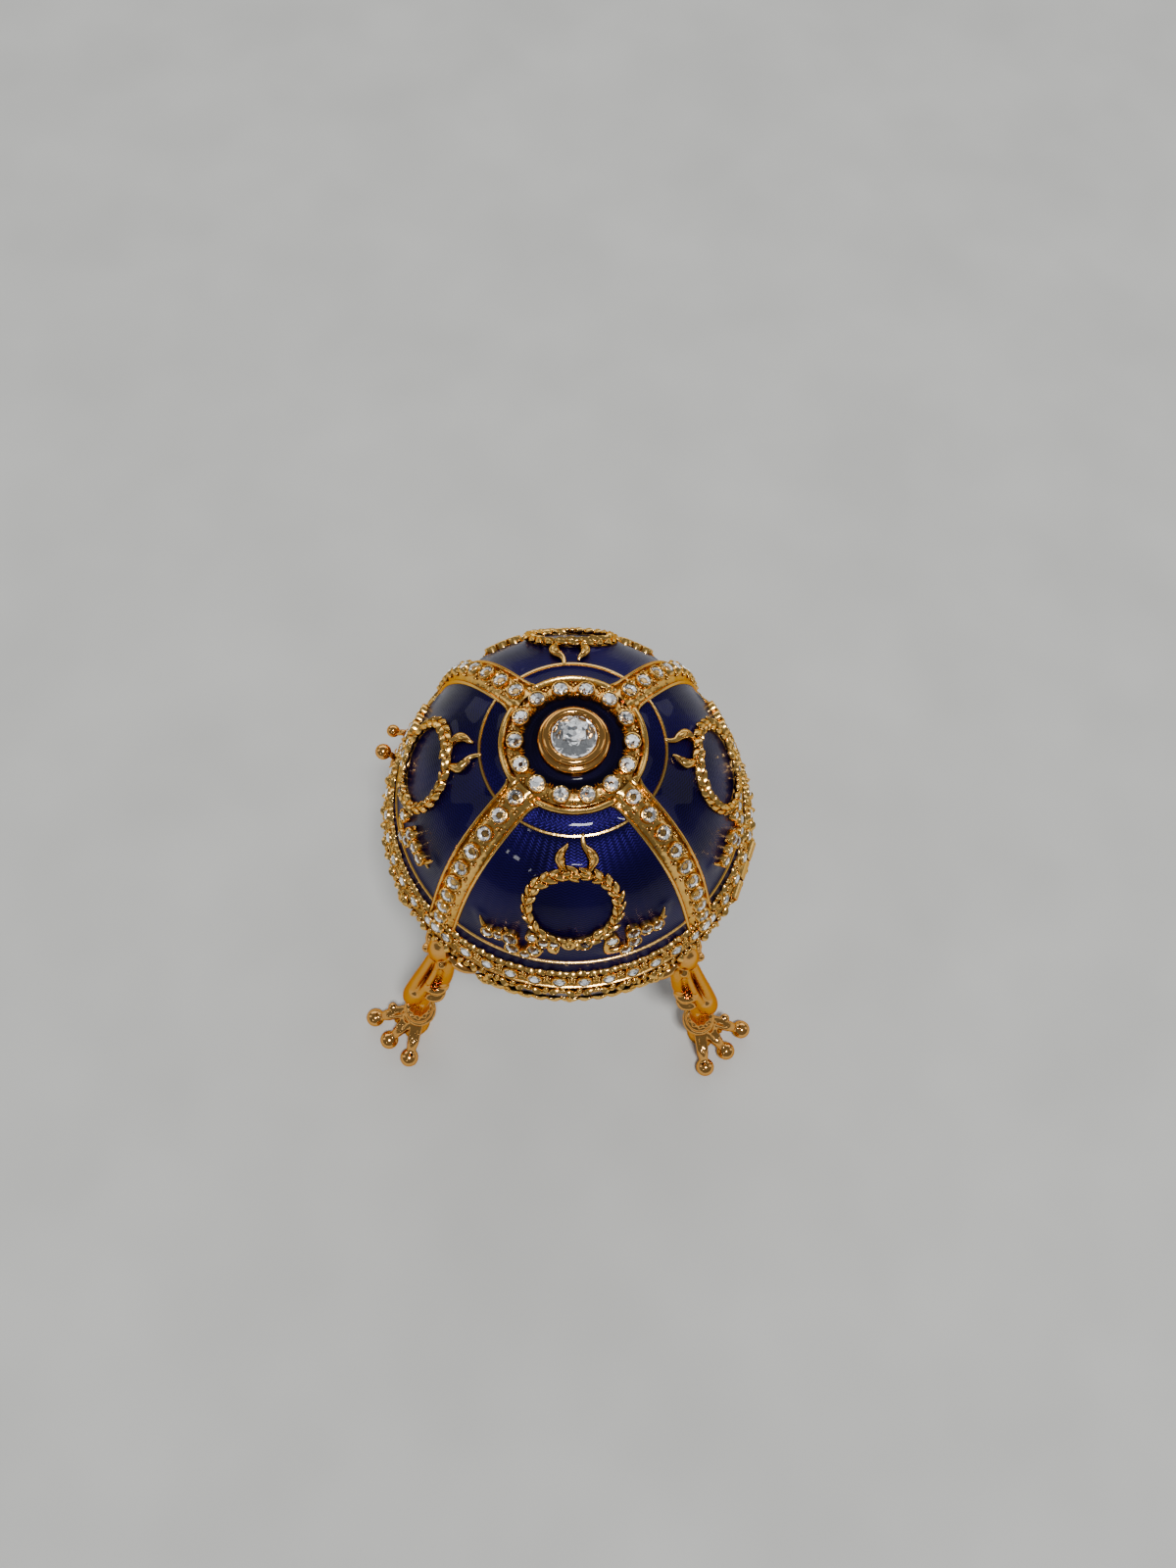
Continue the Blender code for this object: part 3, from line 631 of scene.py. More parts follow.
def leaf(length: float, width: float, thickness: float) -> Mesh:
    """A pointed leaf with a raised midrib, lying along X."""
    bm = bmesh.new()
    bmesh.ops.create_uvsphere(bm, u_segments=8, v_segments=7, radius=1.0)
    move(bm, turned(math.pi / 2, "Y"))
    for vert in bm.verts:
        x, y, z = vert.co
        taper = 1 - 0.5 * max(x, 0.0) ** 1.5
        midrib = 1 + 0.35 * max(0.0, 1 - abs(y) * 2.2)
        vert.co = (x * length / 2, y * taper * width / 2, z * taper * midrib * thickness / 2)
    return as_mesh(bm)


def mark_inside(bm: BMesh) -> None:
    """Gives the second finish to a shell's faces that look at the egg's middle."""
    bmesh.ops.recalc_face_normals(bm, faces=bm.faces)
    for face in bm.faces:
        away = face.calc_center_median() - Vector((0, 0, SEAM_Z - 3.0))
        face.material_index = int(face.normal.dot(away) < 0)


def publish(bm: BMesh, name: str, skins: Material | list[Material], body: Body,
            replaces: tuple[str, ...] = (), sharp_degrees: float = 40.0) -> bpy.types.Object:
    """Turns a finished shape into a piece that rides on a body.

    Args:
        bm: the shape, in millimetres.
        name: the piece's name.
        skins: its finish or finishes.
        body: what it rides on.
        replaces: CAD nodes that it stands for.
        sharp_degrees: edges sharper than this stay crisp.

    Returns:
        The piece.
    """
    bmesh.ops.scale(bm, vec=(MM, MM, MM), verts=bm.verts)
    bmesh.ops.recalc_face_normals(bm, faces=bm.faces)
    mesh = as_mesh(bm)
    mesh.name = name
    mesh.shade_smooth()
    mesh.set_sharp_from_angle(angle=math.radians(sharp_degrees))
    for skin in skins if isinstance(skins, list) else [skins]:
        mesh.materials.append(skin)
    item = bpy.data.objects.new(name, mesh)
    bpy.context.scene.collection.objects.link(item)
    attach(item, body.value)
    if replaces:
        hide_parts(*replaces)
    LOG.info("%s: %d faces on %s", name, len(mesh.polygons), body.value)
    return item


# The egg's own sizes, as in the part's source

SEAM_Z = 49.0
SEAM_RADIUS = 28.65
SEAM_GAP = 0.3
SIDE_LEAN = math.radians(18.7)
CROWN_Z = SEAM_Z + 25.9
WALL = 1.8
BAND_WIDTH = 3.4
BOWL_BOTTOM_Z = 11.0
BELLY_RADIUS = 29.1
BELLY_Z = SEAM_Z - 5.0
LEAN = np.array([math.sin(SIDE_LEAN), -math.cos(SIDE_LEAN)])
SEAM = np.array([SEAM_RADIUS, SEAM_Z])

LID_SIDE = EggSide((((0, CROWN_Z), (23.1, CROWN_Z), tuple(SEAM - 13.4 * LEAN), tuple(SEAM)),))
BOWL_SIDE = EggSide((
    (tuple(SEAM), tuple(SEAM + 2.2 * LEAN), (BELLY_RADIUS, BELLY_Z + 2.2), (BELLY_RADIUS, BELLY_Z)),
    ((BELLY_RADIUS, BELLY_Z), (BELLY_RADIUS - 0.3, BELLY_Z - 16.0), (15.8, BOWL_BOTTOM_Z),
     (0, BOWL_BOTTOM_Z)),
))
RIB_AZIMUTHS = [math.radians(angle) for angle in (-135, -45, 45, 135)]
PANEL_AZIMUTHS = [math.radians(angle) for angle in (-90, 0, 90, 180)]


# Stones


@dataclass
class StoneSetter:
    """Sets small machine-cut stones in raised bezels, each over its foil.

    Args:
        finishes: the box's finishes.
        bezel_sides: sides of a bezel.
        facets: facets round a stone.
        wall: thickness of a bezel's wall.
        twist: turn from one stone to the next, in radians.
    """

    finishes: Finishes
    bezel_sides: int = 14
    facets: int = 8
    wall: float = 0.26
    twist: float = 2.4

    def __post_init__(self) -> None:
        """Makes the shapes that are repeated, for a stone of radius one."""
        self.stone = self._stone()
        self.foil = self._foil()

    def _stone(self) -> Mesh:
        """A brilliant: table, crown facets and a shallow pavilion."""
        bm = bmesh.new()
        for radius, z, turn in ((0.56, 0.36, 0.5), (1.0, 0.04, 0.0), (1.0, -0.04, 0.0), (0.3, -0.34, 0.5)):
            place = shifted(0, 0, z) @ turned(FULL_TURN / self.facets * turn)
            bmesh.ops.create_circle(bm, segments=self.facets, radius=radius, matrix=place)
        bmesh.ops.delete(bm, geom=bm.edges[:], context="EDGES_FACES")
        bmesh.ops.convex_hull(bm, input=bm.verts)
        return as_mesh(bm)

    def _foil(self) -> Mesh:
        """The foil cup under a stone."""
        return as_mesh(spun([(0, -0.36), (0.3, -0.38), (1.02, -0.07), (1.02, -0.16), (0.3, -0.5),
                            (0, -0.5)], self.facets))

    def bezel(self, radius: float) -> Mesh:
        """The rounded wall that holds a stone of a radius."""
        out = radius + self.wall
        inner = radius - 0.03
        section = [(out, -0.9), (out, 0.1), (out - 0.07, 0.24), (out - 0.16, 0.27), (inner, 0.12),
                   (inner, -0.9)]
        return as_mesh(spun(section, self.bezel_sides, closed=True))

    def set(self, name: str, places: list[tuple[Matrix, float]], metal: BMesh) -> None:
        """Sets a row of stones.

        Args:
            name: what the row is called.
            places: each stone's place, at its girdle, and radius.
            metal: the casting that the bezels are added to.
        """
        stones, foils = bmesh.new(), bmesh.new()
        bezels = {radius: self.bezel(radius) for radius in {radius for _, radius in places}}
        for index, (place, radius) in enumerate(places):
            seat = place @ turned(index * self.twist) @ scaled(radius)
            stamp(stones, self.stone, seat)
            stamp(foils, self.foil, seat)
            stamp(metal, bezels[radius], place)
        publish(stones, name + "_stones", self.finishes.crystal, Body.LID, sharp_degrees=5)
        publish(foils, name + "_foils", self.finishes.foil, Body.LID, sharp_degrees=5)


# The lid


@dataclass
class LidShell:
    """The lid's casting and the enamel that fills it.

    Args:
        finishes: the box's finishes.
        steps: sides of the enamel.
        sides: sides of the casting.
        recess: depth of the cells that hold the enamel.
        enamel_start: distance from the crown where the enamel starts.
        enamel_end: distance where the band takes over.
        rise: how far the enamel creeps up the gold.
        creep: how far from the gold it starts to rise.
    """

    finishes: Finishes
    steps: int = 288
    sides: int = 160
    recess: float = 0.3
    enamel_start: float = 4.6
    enamel_end: float = 39.7
    rise: float = 0.26
    creep: float = 0.55

    def casting(self) -> None:
        """Turns the hollow casting, with the band along the seam."""
        end = LID_SIDE.length
        cells = [(s, -self.recess) for s in np.linspace(0, end - BAND_WIDTH - 0.1, 26)]
        band = [(-3.5, 0.3), (-3.4, 0.55), (-3.15, 0.7), (-2.85, 0.62), (-2.7, 0.4), (-2.5, 0.33),
                (-0.9, 0.33), (-0.72, 0.42), (-0.6, 0.6), (-0.42, 0.66), (-0.25, 0.55), (-0.16, 0.3),
                (-0.16, 0.0)]
        inside = [(s, -WALL) for s in np.linspace(end - 0.16, 0, 24)]
        outline = LID_SIDE.outline(cells + [(end + s, height) for s, height in band] + inside)
        rim = SEAM_Z + SEAM_GAP / 2
        outline = [(radius, max(z, rim)) for radius, z in outline]
        bm = spun(outline, self.sides)
        mark_inside(bm)
        skins = [self.finishes.relief, self.finishes.inside]
        publish(bm, "lid_casting", skins, Body.LID, ("lid",))

    def enamel(self, gold_edges: "PanelRelief") -> None:
        """Turns the enamel skin and lets it creep up the gold that it meets.

        Args:
            gold_edges: the relief whose paths the enamel surrounds.
        """
        top = [(s, 0.0) for s in np.linspace(self.enamel_start, self.enamel_end, 112)]
        under = [(s, -self.recess) for s in np.linspace(self.enamel_end, self.enamel_start, 14)]
        bm = spun(LID_SIDE.outline(top + under), self.steps, closed=True)
        places = np.array([vert.co[:] for vert in bm.verts])
        radius = np.hypot(places[:, 0], places[:, 1])
        s = np.interp(radius, LID_SIDE.line[:, 0], LID_SIDE.distance)
        azimuth = np.arctan2(places[:, 1], places[:, 0])
        base_z = LID_SIDE.sample(s, 0.0)[1]
        is_top = places[:, 2] > base_z - 0.05
        gap = gold_edges.distance_to_gold(azimuth, s, radius)
        height = self.rise * np.exp(-np.maximum(gap, 0) / self.creep) * is_top
        across, down = (np.interp(s, LID_SIDE.distance, LID_SIDE.slope[:, axis]) for axis in (0, 1))
        unit = places[:, :2] / radius[:, None]
        places[:, :2] -= unit * (down * height)[:, None]
        places[:, 2] += across * height
        for vert, place in zip(bm.verts, places):
            vert.co = place
        publish(bm, "lid_enamel", self.finishes.enamel, Body.LID)


@dataclass
class CrownSetting:
    """The stepped cup with the large crystal, and the ring of stones round it.

    Args:
        finishes: the box's finishes.
        setter: what sets the small stones.
        stone_radius: of the large crystal.
        stone_foot: height of its lowest point over the crown.
        ring_stones: how many small stones are in the ring.
        ring_stone_s: their distance from the crown.
        ring_turn: azimuth of the first one.
        small_radius: radius of a small stone.
        girdle: height of the large crystal's widest part over the crown.
        cup_sides: sides of the cup.
        ring_sides: sides of the ring.
    """

    finishes: Finishes
    setter: StoneSetter
    stone_radius: float = 3.1
    stone_foot: float = 0.35
    ring_stones: int = 14
    ring_stone_s: float = 8.15
    ring_turn: float = math.radians(102.5)
    small_radius: float = 1.07
    girdle: float = 2.32
    cup_sides: int = 72
    ring_sides: int = 216

    def cup(self) -> None:
        """Turns the cup: a fat foot ring, a groove and a rolled rim."""
        profile = [(3.3, -0.5), (3.3, 2.15), (3.45, 2.42), (3.75, 2.6), (4.1, 2.58), (4.4, 2.38),
                   (4.52, 2.05), (4.42, 1.75), (4.3, 1.55), (4.38, 1.4), (4.6, 1.38), (4.9, 1.3),
                   (5.12, 1.05), (5.2, 0.7), (5.12, 0.3), (5.0, -0.5)]
        bm = spun([(radius, CROWN_Z + height) for radius, height in profile], self.cup_sides, closed=True)
        publish(bm, "crown_cup", self.finishes.polished, Body.LID, sharp_degrees=60)

    def crystal(self) -> None:
        """Cuts the large brilliant and the foil under it."""
        girdle = CROWN_Z + self.girdle
        bm = bmesh.new()
        rings = ((0.54, 1.28, 8, 0.5), (0.80, 0.76, 8, 0.0), (1.0, 0.10, 16, 0.5), (1.0, -0.06, 16, 0.5),
                 (0.62, -1.0, 8, 0.0), (0.16, -1.8, 8, 0.5))
        for share, height, count, turn in rings:
            place = shifted(0, 0, girdle + height) @ turned(FULL_TURN / count * turn)
            bmesh.ops.create_circle(bm, segments=count, radius=share * self.stone_radius, matrix=place)
        bmesh.ops.delete(bm, geom=bm.edges[:], context="EDGES_FACES")
        bmesh.ops.convex_hull(bm, input=bm.verts)
        publish(bm, "crown_crystal_cut", self.finishes.crystal, Body.LID, ("crown_crystal",),
                sharp_degrees=5)
        wide = self.stone_radius + 0.15
        foot = CROWN_Z + self.stone_foot
        cone = spun([(0, foot), (0.9, foot), (wide, girdle - 0.25), (wide, girdle - 0.45),
                     (0.9, foot - 0.3), (0, foot - 0.3)], 16)
        for vert in cone.verts:
            vert.co.z += 0.5 * noise.noise(vert.co * 1.7)
        publish(cone, "crown_foil", self.finishes.foil, Body.LID, sharp_degrees=5)

    def ring(self) -> None:
        """Turns the ring, opens its lip towards the ribs, and sets its stones with beads between them."""
        section = [(7.2, -0.4), (7.2, 0.5), (7.3, 0.75), (7.5, 0.84), (7.9, 0.8), (8.4, 0.8), (9.0, 0.74),
                   (9.3, 0.55), (9.5, 0.52), (9.66, 0.75), (9.8, 1.02), (10.05, 1.2), (10.35, 1.16),
                   (10.6, 0.9), (10.72, 0.5), (10.75, -0.4)]
        bm = spun(LID_SIDE.outline(section), self.ring_sides, closed=True)
        quarter = math.pi / 2
        for vert in bm.verts:
            radius = math.hypot(vert.co.x, vert.co.y)
            turn = (math.atan2(vert.co.y, vert.co.x) - RIB_AZIMUTHS[0] + quarter / 2) % quarter - quarter / 2
            bed = LID_SIDE.point(radius)[1] + 0.55
            if radius < 9.5 and vert.co.z > bed:
                vert.co.z += 0.1 * noise.noise(vert.co / 0.6)
            if radius > 9.4 and vert.co.z > bed:
                share = min(max((abs(turn) * radius - 1.9) / 0.5, 0.0), 1.0)
                vert.co.z = bed + (vert.co.z - bed) * share
        step = FULL_TURN / self.ring_stones
        post = leaf(0.95, 0.36, 0.5)
        bead = as_mesh(ball((0, 0, 0), 1.0))
        places = []
        for index in range(self.ring_stones):
            turn = self.ring_turn - index * step
            places.append((LID_SIDE.seat(turn, 0, self.ring_stone_s, 1.2), self.small_radius))
            for side in (-0.21, 0.21):
                upright = LID_SIDE.seat(turn + step / 2, side, 7.35, 0.85) @ turned(math.pi / 2)
                stamp(bm, post, upright)
            for side, s, radius in ((0.0, 8.9, 0.26), (-0.34, 9.2, 0.2), (0.34, 9.2, 0.2), (0.0, 8.4, 0.2)):
                dot(bm, bead, LID_SIDE.seat(turn + step / 2, side, s, 0.8), radius)
        self.setter.set("crown_ring", places, bm)
        publish(bm, "crown_ring", self.finishes.relief, Body.LID)

    def build(self) -> None:
        """Builds the whole crown."""
        self.cup()
        self.crystal()
        self.ring()


@dataclass
class Ribs:
    """Four ribs of set stones from the crown ring to the band.

    Args:
        finishes: the box's finishes.
        setter: what sets the stones.
        half_width: half a rib's width.
        start: where a rib leaves the ring.
        stones: stones on one rib.
        stone_start: distance of the first stone from the crown.
        pitch: distance from stone to stone.
        small_radius: radius of a stone.
    """

    finishes: Finishes
    setter: StoneSetter
    half_width: float = 2.65
    start: float = 9.6
    stones: int = 10
    stone_start: float = 11.4
    pitch: float = 3.2
    small_radius: float = 1.07

    def section(self, s: float) -> list[Vector]:
        """A rib's section: a smooth wire on each edge, and barked slopes that rise to the stones.

        Args:
            s: distance from the crown.

        Returns:
            Points as (sideways, distance, height).
        """
        wide = self.half_width + 0.9 * math.exp(-max(s - 10.3, 0.0) / 0.7)
        sides = []
        for side in (1, -1):
            bark = [0.16 * noise.noise(Vector((s * pace, side * 7.0, level)))
                    for pace, level in ((1.5, 0.0), (1.9, 3.1), (1.3, 6.2))]
            shape = [(wide, -0.4), (wide, 0.34), (wide - 0.12, 0.56), (wide - 0.32, 0.64),
                     (wide - 0.52, 0.54), (wide - 0.66, 0.26), (1.74, 0.34 + bark[0]),
                     (1.5, 0.6 + bark[1]), (1.25, 0.86 + bark[2]), (1.0, 1.0), (0.5, 1.06)]
            sides.append([Vector((side * u, s, height)) for u, height in shape])
        return sides[0] + [Vector((0, s, 1.06))] + sides[1][::-1]

    def build(self) -> None:
        """Lays the four ribs and sets their stones."""
        end = LID_SIDE.length - BAND_WIDTH + 0.35
        rows = np.linspace(self.start, end, 150)
        flat = as_mesh(sweep([self.section(s) for s in rows]))
        bead = as_mesh(ball((0, 0, 0), 1.0))
        metal = bmesh.new()
        places = []
        for azimuth in RIB_AZIMUTHS:
            bm = bmesh.new()
            bm.from_mesh(flat)
            merge(metal, LID_SIDE.lay(bm, azimuth))
            for index in range(self.stones):
                s = self.stone_start + index * self.pitch
                places.append((LID_SIDE.seat(azimuth, 0, s, 1.38), self.small_radius))
                for side in (-1, 1):
                    for u, shift, radius in ((0.95, 0.0, 0.26), (1.4, -0.25, 0.2), (1.4, 0.25, 0.2)):
                        along = s + self.pitch / 2 + shift
                        dot(metal, bead, LID_SIDE.seat(azimuth, side * u, along, 1.35 - u * 0.3), radius)
        self.setter.set("rib", places, metal)
        publish(metal, "ribs", self.finishes.relief, Body.LID)


@dataclass
class PanelRelief:
    """The relief of a lid panel: a laurel wreath, two horns and swags of stones.

    Args:
        finishes: the box's finishes.
        setter: what sets the stones.
        centre: the wreath's middle, sideways and from the crown.
        half: the wreath's half width and half height.
        stations: pairs of leaves on one side of the wreath.
    """

    finishes: Finishes
    setter: StoneSetter
    centre: Point = (-0.3, 24.75)
    half: Point = (6.45, 6.1)
    stations: int = 12
    left_swag: tuple[Point, ...] = ((-1.6, 30.9), (-2.7, 30.9), (-4.2, 31.0), (-5.6, 31.6), (-5.7, 33.2),
                                    (-6.6, 34.6), (-7.8, 34.8), (-8.9, 34.2), (-9.1, 32.0), (-10.9, 32.3),
                                    (-12.7, 32.8), (-13.6, 32.2), (-14.1, 31.0))
    right_swag: tuple[Point, ...] = ((0.2, 30.9), (1.6, 31.0), (3.2, 30.3), (4.4, 30.0), (5.0, 31.6),
                                     (4.9, 34.0), (6.3, 34.4), (7.7, 34.1), (8.9, 32.9), (8.7, 30.9),
                                     (10.7, 31.1), (12.5, 31.4), (13.5, 30.8), (13.9, 29.4))
    stones: tuple[tuple[float, float, float], ...] = (
        (-2.7, 30.9, 0.74), (-4.2, 31.0, 0.84), (-5.9, 30.4, 0.7), (-5.6, 33.2, 0.9), (-6.9, 34.7, 0.74),
        (-8.8, 34.2, 0.95), (-9.1, 32.1, 1.05), (-10.9, 32.3, 0.72), (-12.6, 32.8, 0.84), (1.6, 31.0, 0.85),
        (5.5, 31.2, 0.84), (7.7, 34.1, 0.84), (8.9, 32.8, 0.9), (8.7, 30.8, 0.95), (10.7, 31.1, 0.86),
        (12.5, 31.4, 0.86))

    def distance_to_gold(self, azimuth: np.ndarray, s: np.ndarray, radius: np.ndarray) -> np.ndarray:
        """How far points of the enamel are from the gold that stands in it.

        Args:
            azimuth: the points' azimuths.
            s: their distances from the crown.
            radius: their radii.

        Returns:
            Distances in millimetres.
        """
        quarter = math.pi / 2
        from_rib = ((azimuth - RIB_AZIMUTHS[0] + math.pi / 4) % quarter) - math.pi / 4
        gap = np.where(s > 10.0, np.abs(from_rib) * radius - 2.65, 9.0)
        for low, high in ((5.1, 5.1), (6.9, 10.7), (13.4, 13.8), (36.5, 36.9), (39.5, 43.0)):
            gap = np.minimum(gap, np.maximum(low - s, s - high))
        sideways = (((azimuth - PANEL_AZIMUTHS[0] + math.pi / 4) % quarter) - math.pi / 4) * radius
        across, along = sideways - self.centre[0], s - self.centre[1]
        turn = np.hypot(across / self.half[0], along / self.half[1])
        gap = np.minimum(gap, np.abs(turn - 1) * 6.2 - 0.9)
        rows = [smooth_path(list(path), 3) for path in (self.left_swag, self.right_swag)]
        for u, place in np.vstack(rows):
            gap = np.minimum(gap, np.hypot(sideways - u, s - place) - 0.85)
        return gap

    def wreath(self, bm: BMesh) -> None:
        """Adds the laurel wreath: leaves growing up both sides from the knob."""
        blade = leaf(2.5, 1.15, 0.95)
        for side in (-1, 1):
            for index in range(self.stations):
                turn = math.pi / 2 + side * (0.16 + index * (math.pi - 0.2) / (self.stations - 1))
                spot = Vector((self.centre[0] + self.half[0] * math.cos(turn),
                               self.centre[1] + self.half[1] * math.sin(turn), 0.75))
                heading = math.atan2(self.half[1] * math.cos(turn) * side,
                                     -self.half[0] * math.sin(turn) * side)
                for lean in (-1, 1):
                    wobble = 0.14 * math.sin(index * 2.3 + lean)
                    place = (shifted(*spot) @ turned(heading + lean * (0.42 + wobble))
                             @ shifted(0.35 * lean, 0.36 * lean, 0.1 * lean)
                             @ turned(-0.16, "Y"))
                    stamp(bm, blade, place)
        ring = [(self.centre[0] + self.half[0] * math.cos(turn),
                 self.centre[1] + self.half[1] * math.sin(turn), 0.3, 0.62)
                for turn in np.linspace(math.pi / 2, 2.5 * math.pi - 0.05, 33)]
        merge(bm, tube(ring, 8, 2))

    def horns(self, bm: BMesh) -> None:
        """Adds the two curled ribbon ends over the wreath."""
        left = [(-0.7, 18.7, 0.4, 0.5), (-1.6, 17.8, 0.5, 0.6), (-2.0, 16.8, 0.65, 0.78),
                (-1.8, 15.9, 0.6, 0.6), (-1.2, 15.1, 0.4, 0.34), (-1.0, 14.7, 0.2, 0.2)]
        right = [(1.7, 18.8, 0.4, 0.45), (2.3, 17.9, 0.5, 0.6), (2.6, 16.9, 0.65, 0.78),
                 (2.1, 15.9, 0.6, 0.66), (1.4, 15.1, 0.45, 0.44), (1.15, 14.3, 0.35, 0.34),
                 (1.15, 13.5, 0.3, 0.3)]
        for path in (left, right):
            merge(bm, tube(path, 10, 5))
        blade = leaf(1.9, 0.95, 0.9)
        for u, s, heading in ((-1.75, 17.1, -1.9), (2.35, 17.1, -1.25), (2.2, 16.1, -2.1),
                              (-1.75, 16.0, -1.2), (-0.9, 18.6, -0.3), (1.4, 18.8, -2.9), (0.2, 18.9, 0.2)):
            stamp(bm, blade, shifted(u, s, 1.05) @ turned(heading))

    def swags(self, bm: BMesh) -> None:
        """Adds the swags' gold, with thorns, curls and a knob in the middle."""
        for path in (self.left_swag, self.right_swag):
            count = len(path)
            rows = [(u, s, 0.3, 0.52 if index < count - 2 else 0.4 - 0.28 * (index - count + 2))
                    for index, (u, s) in enumerate(path)]
            merge(bm, tube(rows, 8, 3, flatten=1.1))
        curls = (
            [(-3.0, 31.9, 0.3, 0.5), (-3.2, 33.0, 0.4, 0.6), (-2.5, 33.5, 0.4, 0.45),
            (-2.2, 32.8, 0.3, 0.3)], [(-4.6, 33.9, 0.3, 0.35), (-5.2, 34.8, 0.4, 0.5),
            (-5.9, 35.2, 0.4, 0.4)], [(3.4, 30.4, 0.4, 0.6), (3.3, 29.3, 0.6, 0.75),
            (4.4, 28.9, 0.5, 0.5), (5.2, 29.7, 0.4, 0.4)], [(8.0, 30.4, 0.3, 0.4), (8.0, 29.6, 0.3, 0.28)],
            [(13.3, 31.2, 0.3, 0.35), (14.2, 31.5, 0.3, 0.2)],
            [(-9.6, 31.4, 0.3, 0.4), (-10.0, 30.9, 0.3, 0.25)],
        )
        for path in curls:
            merge(bm, tube(list(path), 8, 4))
        knob = (-0.65, 31.0)
        curl = [(knob[0] + 0.72 * math.cos(turn), knob[1] + 0.72 * math.sin(turn), 0.85, 0.42)
                for turn in np.linspace(0, FULL_TURN, 13)]
        merge(bm, tube(curl, 10, 2))
        merge(bm, ball((*knob, 0.55), 0.5, 0.8, 10))
        for u, s, radius in ((-1.3, 30.0, 0.36), (-0.5, 29.8, 0.42), (0.35, 30.1, 0.4), (0.6, 31.7, 0.36)):
            merge(bm, ball((u, s, 1.0), radius))

    def build(self) -> None:
        """Lays the relief on the four panels and sets its stones."""
        flat = bmesh.new()
        self.wreath(flat)
        self.horns(flat)
        self.swags(flat)
        flat_mesh = as_mesh(flat)
        metal = bmesh.new()
        places = []
        for azimuth in PANEL_AZIMUTHS:
            bm = bmesh.new()
            bm.from_mesh(flat_mesh)
            merge(metal, LID_SIDE.lay(bm, azimuth))
            places += [(LID_SIDE.seat(azimuth, u, s, 1.0), radius) for u, s, radius in self.stones]
        self.setter.set("swag", places, metal)
        publish(metal, "panel_relief", self.finishes.relief, Body.LID, sharp_degrees=55)


@dataclass
class LidTrim:
    """The wires between the enamel cells, and the beads and stones of the lid's band.

    Args:
        finishes: the box's finishes.
        setter: what sets the stones.
        wires: distances of the round wires from the crown.
        band_stones: stones round the band.
        band_s: their distance from the crown.
        small_radius: radius of a stone.
        beads: nuggets along the band's upper edge.
        sides: sides of a wire.
    """

    finishes: Finishes
    setter: StoneSetter
    wires: tuple[float, ...] = (13.6, 36.7)
    band_stones: int = 48
    band_s: float = 41.45
    small_radius: float = 0.98
    beads: int = 112
    sides: int = 192

    def build(self) -> None:
        """Builds the wires, the beads and the band's stones."""
        metal = bmesh.new()
        for s in self.wires:
            section = [(s - 0.3, -0.35), (s - 0.28, 0.2), (s - 0.14, 0.42), (s + 0.1, 0.44),
                       (s + 0.27, 0.24), (s + 0.3, -0.35)]
            merge(metal, spun(LID_SIDE.outline(section), self.sides, closed=True))
        bead = as_mesh(ball((0, 0, 0), 1.0))
        nugget = leaf(1.9, 1.0, 1.0)
        for index in range(self.beads):
            turn = FULL_TURN * index / self.beads
            wander = math.sin(index * 1.9)
            place = LID_SIDE.seat(turn, 0, 39.7 + 0.12 * wander, 0.35)
            stamp(metal, nugget, place @ turned(0.9 * math.sin(index * 3.1)))
            seat = LID_SIDE.seat(turn + 0.4 / SEAM_RADIUS, 0, 40.1 + 0.1 * wander, 0.5)
            dot(metal, bead, seat, 0.34 + 0.08 * wander)
        places = []
        step = FULL_TURN / self.band_stones
        cluster = ((0.0, 40.8, 0.38), (-0.45, 41.1, 0.3), (0.45, 41.2, 0.3), (0.0, 41.5, 0.36),
                   (-0.4, 41.95, 0.3), (0.4, 42.0, 0.3))
        for index in range(self.band_stones):
            turn = step * (index + 0.5)
            places.append((LID_SIDE.seat(turn, 0, self.band_s, 0.85), self.small_radius))
            for side, s, radius in cluster:
                dot(metal, bead, LID_SIDE.seat(turn + step / 2, side, s, 0.5), radius)
        self.setter.set("band", places, metal)
        publish(metal, "lid_trim", self.finishes.relief, Body.LID)


# The bowl


